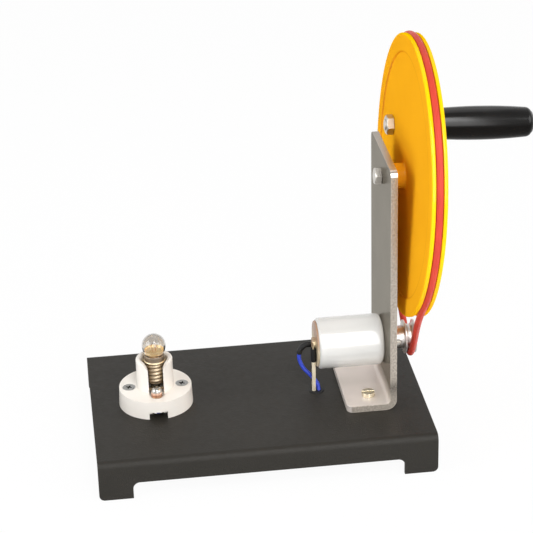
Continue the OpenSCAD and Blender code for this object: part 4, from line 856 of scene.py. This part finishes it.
def sleeve_profile():
    """Section of the white sleeve: rounded ends, drawn in over the can's rounded edge on the
    right, and shrunk slightly behind the end cap."""
    left, right, inner_r, outer_r, lip_r = 28.3, 58.0, 10.5, 11.7, 8.58
    dip_x, dip, width = 31.2, 0.08, 0.8  # of the shrunk ring: place, depth and width
    corners = [(left, inner_r), (left, outer_r), (right, outer_r), (right, lip_r), (right, inner_r)]
    line = rounded(corners, [0.1, 1.1, 2.4, 0, 1.92], 10)
    middle = np.stack([np.linspace(29.5, 55.4, 40), np.full(40, outer_r)], 1)
    k = int(np.argmax(line[:, 0] > 40))  # first point of the right end
    line = np.concatenate([line[:k], middle, line[k:]])
    shrunk = dip * np.exp(-((line[:, 0] - dip_x) / width) ** 2)
    line[:, 1] -= np.where(line[:, 1] > 11, shrunk, 0)
    return line


piece("generator_sleeve", [turned(sleeve_profile(), Z_AXIS * MOTOR_Z, steps=128)], SLEEVE, "frame",
      ["motor_sleeve"], wrap_rows=True)


# ---------------------------------------------------------------- lamp

def screw_cap():
    """Screw cap: the radius is the root plus a raised cosine of height less turns, fading at
    both ends of the thread; above it a bead and a collar turned in over the glass, as pairs of
    height over the thread and radius."""
    pitch, turns, root_r, depth, foot_r, foot_z, sides = 1.81, 5.4, 4.25, 0.5, 3.4, 29.7, 96
    height = turns * pitch
    angle = np.linspace(0, 2 * math.pi, sides, endpoint=False)
    z = np.linspace(0, height, 110)[:, None]
    fade = np.clip(np.minimum(z, height - z) / pitch, 0, 1)
    radius = root_r + depth * fade * (0.5 + 0.5 * np.cos(2 * math.pi * z / pitch - angle))
    bead = [(0.05, 4.28), (0.14, 4.50), (0.26, 4.76), (0.42, 4.90), (0.58, 4.93), (0.74, 4.86),
            (0.86, 4.70), (0.96, 4.59)]
    collar = [(1.1, 4.56), (2.2, 4.60), (3.1, 4.60), (3.38, 4.56), (3.54, 4.45), (3.6, 4.25),
              (3.6, 3.95), (2.0, 3.9)]
    above = np.array(bead + collar)
    z = np.concatenate([np.zeros((1, 1)), z, height + above[:, :1]])
    radius = np.concatenate([np.full((1, sides), foot_r), radius,
                             np.repeat(above[:, 1:], sides, 1)])
    rim = np.stack([radius * np.cos(angle), radius * np.sin(angle), np.repeat(z, sides, 1)], -1)
    return rim + LAMP + foot_z * Z_AXIS


def globe_grids():
    """Blown glass, pear-shaped: a globe that runs from its side as a straight cone down to a
    rounded shoulder over the collar, and a neck inside the collar. The inside is the same line
    with smaller radii, run the other way so that its faces look into the hollow."""
    slope, middle, shoulder_z, foot_z = math.radians(13.8), 47.3, 43.13, 38.07
    globe_r, neck_r, wall = 5.4, 3.75, 0.42

    def line(globe, neck, foot, shoulder):
        """Points (height, radius) for a globe's and a neck's radius and two heights."""
        a = np.linspace(-slope, math.pi / 2, 44)
        ball = np.stack([middle + globe * np.sin(a), globe * np.cos(a)], 1)
        ball[-1, 1] = 0
        shoulder_r = ball[0, 1] - (ball[0, 0] - shoulder) * math.tan(slope)
        corners = [(foot, 0), (foot, neck), (shoulder, neck), (shoulder, shoulder_r), ball[0]]
        low = rounded(corners, [0, 0.3, 0.1, 0.35, 0])[:-1]
        share = np.linspace(0, 1, 12, endpoint=False)[:, None]
        return np.concatenate([low, low[-1] + (ball[0] - low[-1]) * share[1:], ball])

    outside = line(globe_r, neck_r, foot_z, shoulder_z)
    inside = line(globe_r - wall, neck_r - wall, foot_z + 0.43, shoulder_z + 0.45)
    return [turned(outside, LAMP, Z_AXIS, 96), turned(inside, LAMP, Z_AXIS, 96)[::-1]]


def stem_grid():
    """Pressed stem, turned from a line of (height, radius): a waisted post whose flare runs up
    the globe's wall as a bowl, with a bead in the bowl's middle that holds the wires."""
    post = [(38.6, 0), (38.6, 2.7), (38.9, 2.75), (39.6, 2.1), (40.6, 1.5), (41.8, 1.6),
            (42.9, 2.4)]
    wall = [(43.62, 3.2), (43.66, 3.9), (43.86, 4.14), (44.3, 4.26), (44.9, 4.42), (45.3, 4.50)]
    bowl = [(45.35, 4.40), (44.9, 4.24), (44.4, 4.0), (43.98, 3.6), (43.86, 2.6), (43.82, 1.5)]
    bead = [(43.95, 1.25), (44.2, 0.95), (44.3, 0.5), (44.32, 0)]
    return turned(post + wall + bowl + bead, LAMP, Z_AXIS, 48)


def support_grids():
    """Two lead-in wires, tubes along curves that lean out of the stem and hook over at the
    filament's ends."""
    right = np.array([(0.5, 0, 43.3), (0.62, 0, 44.6), (0.86, 0, 46.2), (0.9, 0, 47.5),
                      (0.84, 0, 47.95), (0.72, 0, 48.05)])
    routes = (smooth_route(right * [side, 1, 1] + LAMP, 6) for side in (-1, 1))
    return [capped(swept(route, 0.14, 10)) for route in routes]


def filament_grid():
    """Coiled filament: a helix along X on a slight arch, half a sine wave, between the two
    supports."""
    half, level, arch, coils, coil_r, wire_r = 0.86, 48.0, 0.35, 9, 0.17, 0.05
    t = np.linspace(0, 1, 181)
    turn = 2 * math.pi * coils * t
    path = np.stack([half * (2 * t - 1), coil_r * np.cos(turn),
                     level + arch * np.sin(math.pi * t) + coil_r * np.sin(turn)], 1)
    return capped(swept(path + LAMP, wire_r, 8, X_AXIS))


def insulator_grid():
    """Black glass at the cap's foot, turned from a line of (height, radius): a cone with a
    rounded rim and a flat for the solder."""
    line = [(27.8, 0), (27.8, 1.8), (27.95, 2.1), (29.2, 3.75), (29.5, 4.0), (29.7, 4.02),
            (29.7, 0)]
    return turned(line, LAMP, Z_AXIS, 64)


def solder_grid():
    """Solder tip: a low drop, whose radius falls as a power of the cosine while its depth grows
    as the sine, flattened where it meets the contact."""
    top_z, depth, radius = 27.8, 0.8, 1.6
    a = np.radians(np.linspace(0, 80, 9))
    drop = np.stack([top_z - depth * np.sin(a), radius * np.cos(a) ** 0.6], 1)[::-1]
    line = np.concatenate([[[top_z - depth, 0]], drop, [[top_z, 0]]])
    return turned(line, LAMP, Z_AXIS, 48)


piece("lamp_screw_cap", [screw_cap()], CAP_BRASS, "lamp", ["lamp_cap"], sharp=60)
piece("lamp_globe", globe_grids(), GLASS, "lamp", ["lamp_glass"], sharp=70)
piece("lamp_stem_glass", [stem_grid()], STEM, "lamp", ["lamp_stem"], sharp=70)
piece("lamp_wires", support_grids(), COPPER, "lamp", ["lamp_supports"])
piece("lamp_coil", [filament_grid()], TUNGSTEN, "lamp", ["lamp_filament"])
piece("lamp_black_glass", [insulator_grid()], BLACK_GLASS, "lamp", ["lamp_insulator"])
piece("lamp_solder", [solder_grid()], SOLDER, "lamp_tip", ["lamp_tip"])


# ---------------------------------------------------------------- pieces that keep their CAD shape

eased("base_sheet", "base", COAT, "frame", 0.35)
eased("bracket_plate", "bracket", PLATE, "frame", 0.25)
eased("lamp_holder_body", "lamp_holder", HOLDER, "frame", 0.3)
eased("generator_end_cap", "motor_end_cap", CREAM, "frame", 0.15)
eased("turned_pulley", "pulley", ALUMINIUM, "rotor", 0.15)
for made, node, finish, body in (
        ("axle_hex_bolt", "axle_bolt", STEEL, "frame"),
        ("axle_hex_nut", "axle_nut", STEEL, "frame"),
        ("crank_hex_nut", "crank_nut", STEEL, "wheel"),
        ("crank_shoulder_bolt", "crank_bolt", STEEL, "wheel"),
        ("foot_screws", "bracket_screws", WARM_STEEL, "frame"),
        ("csk_screws", "holder_screws", SUNK, "frame"),
        ("clamp_screws", "terminal_screws", CLAMP, "frame"),
        ("generator_screws", "motor_screws", STEEL, "frame")):
    eased(made, node, finish, body, 0.12, 2)

# Nodes that show their CAD mesh, under the finish that they get
KEPT = {
    STEEL: ["bracket_washers", "bracket_nuts", "axle_washers", "axle_bush", "holder_nuts",
            "crank_washer", "motor_can", "rotor_shaft", "pulley_screw"],
    BRASS: ["terminals", "lamp_socket", "side_contact", "centre_contact", "terminal_nuts"],
    COPPER: ["front_bearing", "rear_bearing", "commutator"],
    CREAM: ["commutator_sleeve"], WINDING: ["armature_windings"], CORE: ["armature_core"],
    MAGNET: ["magnets"], CARBON: ["brushes"],
}
for finish, names in KEPT.items():
    for node in names:
        for slot in frame["nodes"][node].material_slots:
            slot.material = finish


# ---------------------------------------------------------------- studio

def facing(azimuth, elevation):
    """Axes of a camera or lamp that looks at the object from two angles in degrees, with
    azimuth 0 in front and 90 on the right: its right, its up and the direction back from the
    object to it."""
    a, e = math.radians(azimuth), math.radians(elevation)
    back = np.array([math.sin(a) * math.cos(e), -math.cos(a) * math.cos(e), math.sin(e)])
    right = unit(np.cross(Z_AXIS, back))
    return right, np.cross(back, right), back


def set_up(name, data, axes, place_at):
    """Adds a camera or lamp to the scene with its axes, at a place in metres."""
    obj = bpy.data.objects.new(name, data)
    obj.matrix_world = Matrix.Translation(place_at) @ Matrix(np.stack(axes, 1)).to_4x4()
    bpy.context.scene.collection.objects.link(obj)
    return obj


def camera():
    """Camera at the photograph's angle, rolled about its line of sight to a point on the
    object. Angles, distance and focal length were solved from edges in the photo."""
    roll = math.radians(-1.549)
    aim, distance = np.array([6.383, 0, 82.769]), 888.171
    focal_px, photo_px, sensor = 2001.416, 533, 36
    right, up, back = facing(-6.536, 26.095)
    right, up = (math.cos(roll) * right + math.sin(roll) * up,
                 -math.sin(roll) * right + math.cos(roll) * up)
    data = bpy.data.cameras.new("camera")
    data.lens, data.sensor_width = focal_px / photo_px * sensor, sensor
    data.clip_start, data.clip_end = 0.05, 50
    bpy.context.scene.camera = set_up("camera", data, (right, up, back),
                                      to_frame(aim + distance * back))


def seen_white(tree):
    """Highest of Light Path's camera, glossy and transmission outputs."""
    path = add(tree, "LightPath")
    value = path.outputs["Is Camera Ray"]
    for name in ("Is Glossy Ray", "Is Transmission Ray"):
        value = maths(tree, "MAXIMUM", value, path.outputs[name])
    return value


def mixed(tree, factor, first, second, out_kind):
    """Joins two shaders by a factor, and the result to an output node of a kind."""
    mix = add(tree, "MixShader")
    for source, socket in zip((factor, first.outputs[0], second.outputs[0]), mix.inputs):
        tree.links.new(source, socket)
    tree.links.new(mix.outputs[0], add(tree, out_kind).inputs["Surface"])


def floor():
    """Pale floor just under the object: plain diffuse to light, mostly white to the camera, so
    a soft shadow stays."""
    half, level, white_share = 6.0, -2e-5, 0.95
    mesh = bpy.data.meshes.new("floor")
    corners = [(x * half, y * half, level) for x, y in ((-1, -1), (1, -1), (1, 1), (-1, 1))]
    mesh.from_pydata(corners, [], [(0, 1, 2, 3)])
    obj = bpy.data.objects.new("floor", mesh)
    bpy.context.scene.collection.objects.link(obj)
    material = bpy.data.materials.new("pale floor")
    material.use_nodes = True
    tree = material.node_tree
    tree.nodes.clear()
    diffuse = add(tree, "BsdfDiffuse", Color=(0.95, 0.95, 0.95, 1))
    white = add(tree, "Emission", Color=(1, 1, 1, 1), Strength=1.0)
    share = maths(tree, "MULTIPLY", seen_white(tree), white_share)
    mixed(tree, share, diffuse, white, "OutputMaterial")
    mesh.materials.append(material)


def world():
    """Even soft light, and a backdrop for the camera, metal and glass that is white at the
    horizon and falls to grey overhead."""
    made = bpy.data.worlds.new("studio")
    bpy.context.scene.world = made
    made.use_nodes = True
    tree = made.node_tree
    tree.nodes.clear()
    soft = add(tree, "Background", Color=(1, 1, 1, 1), Strength=0.28)
    white = add(tree, "Background", Color=(1, 1, 1, 1))
    direction = add(tree, "TexCoord")
    part = add(tree, "SeparateXYZ")
    fall = add(tree, "MapRange", From_Min=0.12, From_Max=0.95, To_Min=1.0, To_Max=0.5)
    tree.links.new(direction.outputs["Generated"], part.inputs[0])
    tree.links.new(part.outputs["Z"], fall.inputs["Value"])
    tree.links.new(fall.outputs["Result"], white.inputs["Strength"])
    mixed(tree, seen_white(tree), soft, white, "OutputWorld")


def softbox(name, azimuth, elevation, distance, width, height, power):
    """Area lamp that looks at the middle of the object from an azimuth and elevation: its
    distance and sides in metres and its power in watts. The camera doesn't see it."""
    axes = facing(azimuth, elevation)
    data = bpy.data.lights.new(name, "AREA")
    data.shape, data.size, data.size_y, data.energy = "RECTANGLE", width, height, power
    middle = 0.07 * Z_AXIS
    set_up(name, data, axes, middle + distance * axes[2]).visible_camera = False


camera()
floor()
world()
softbox("front softbox above", 9, 48, 1.5, 0.5, 0.8, 9.4)
softbox("front softbox below", 9, 17.5, 1.5, 0.5, 0.8, 6.6)
softbox("left softbox", -78, 28, 1.3, 0.9, 0.9, 8.7)
softbox("right softbox", 62, 25, 1.3, 0.9, 0.9, 6.5)
softbox("back softbox", 175, 58, 1.4, 1.0, 1.0, 2.2)
bpy.context.scene.view_settings.view_transform = "Standard"
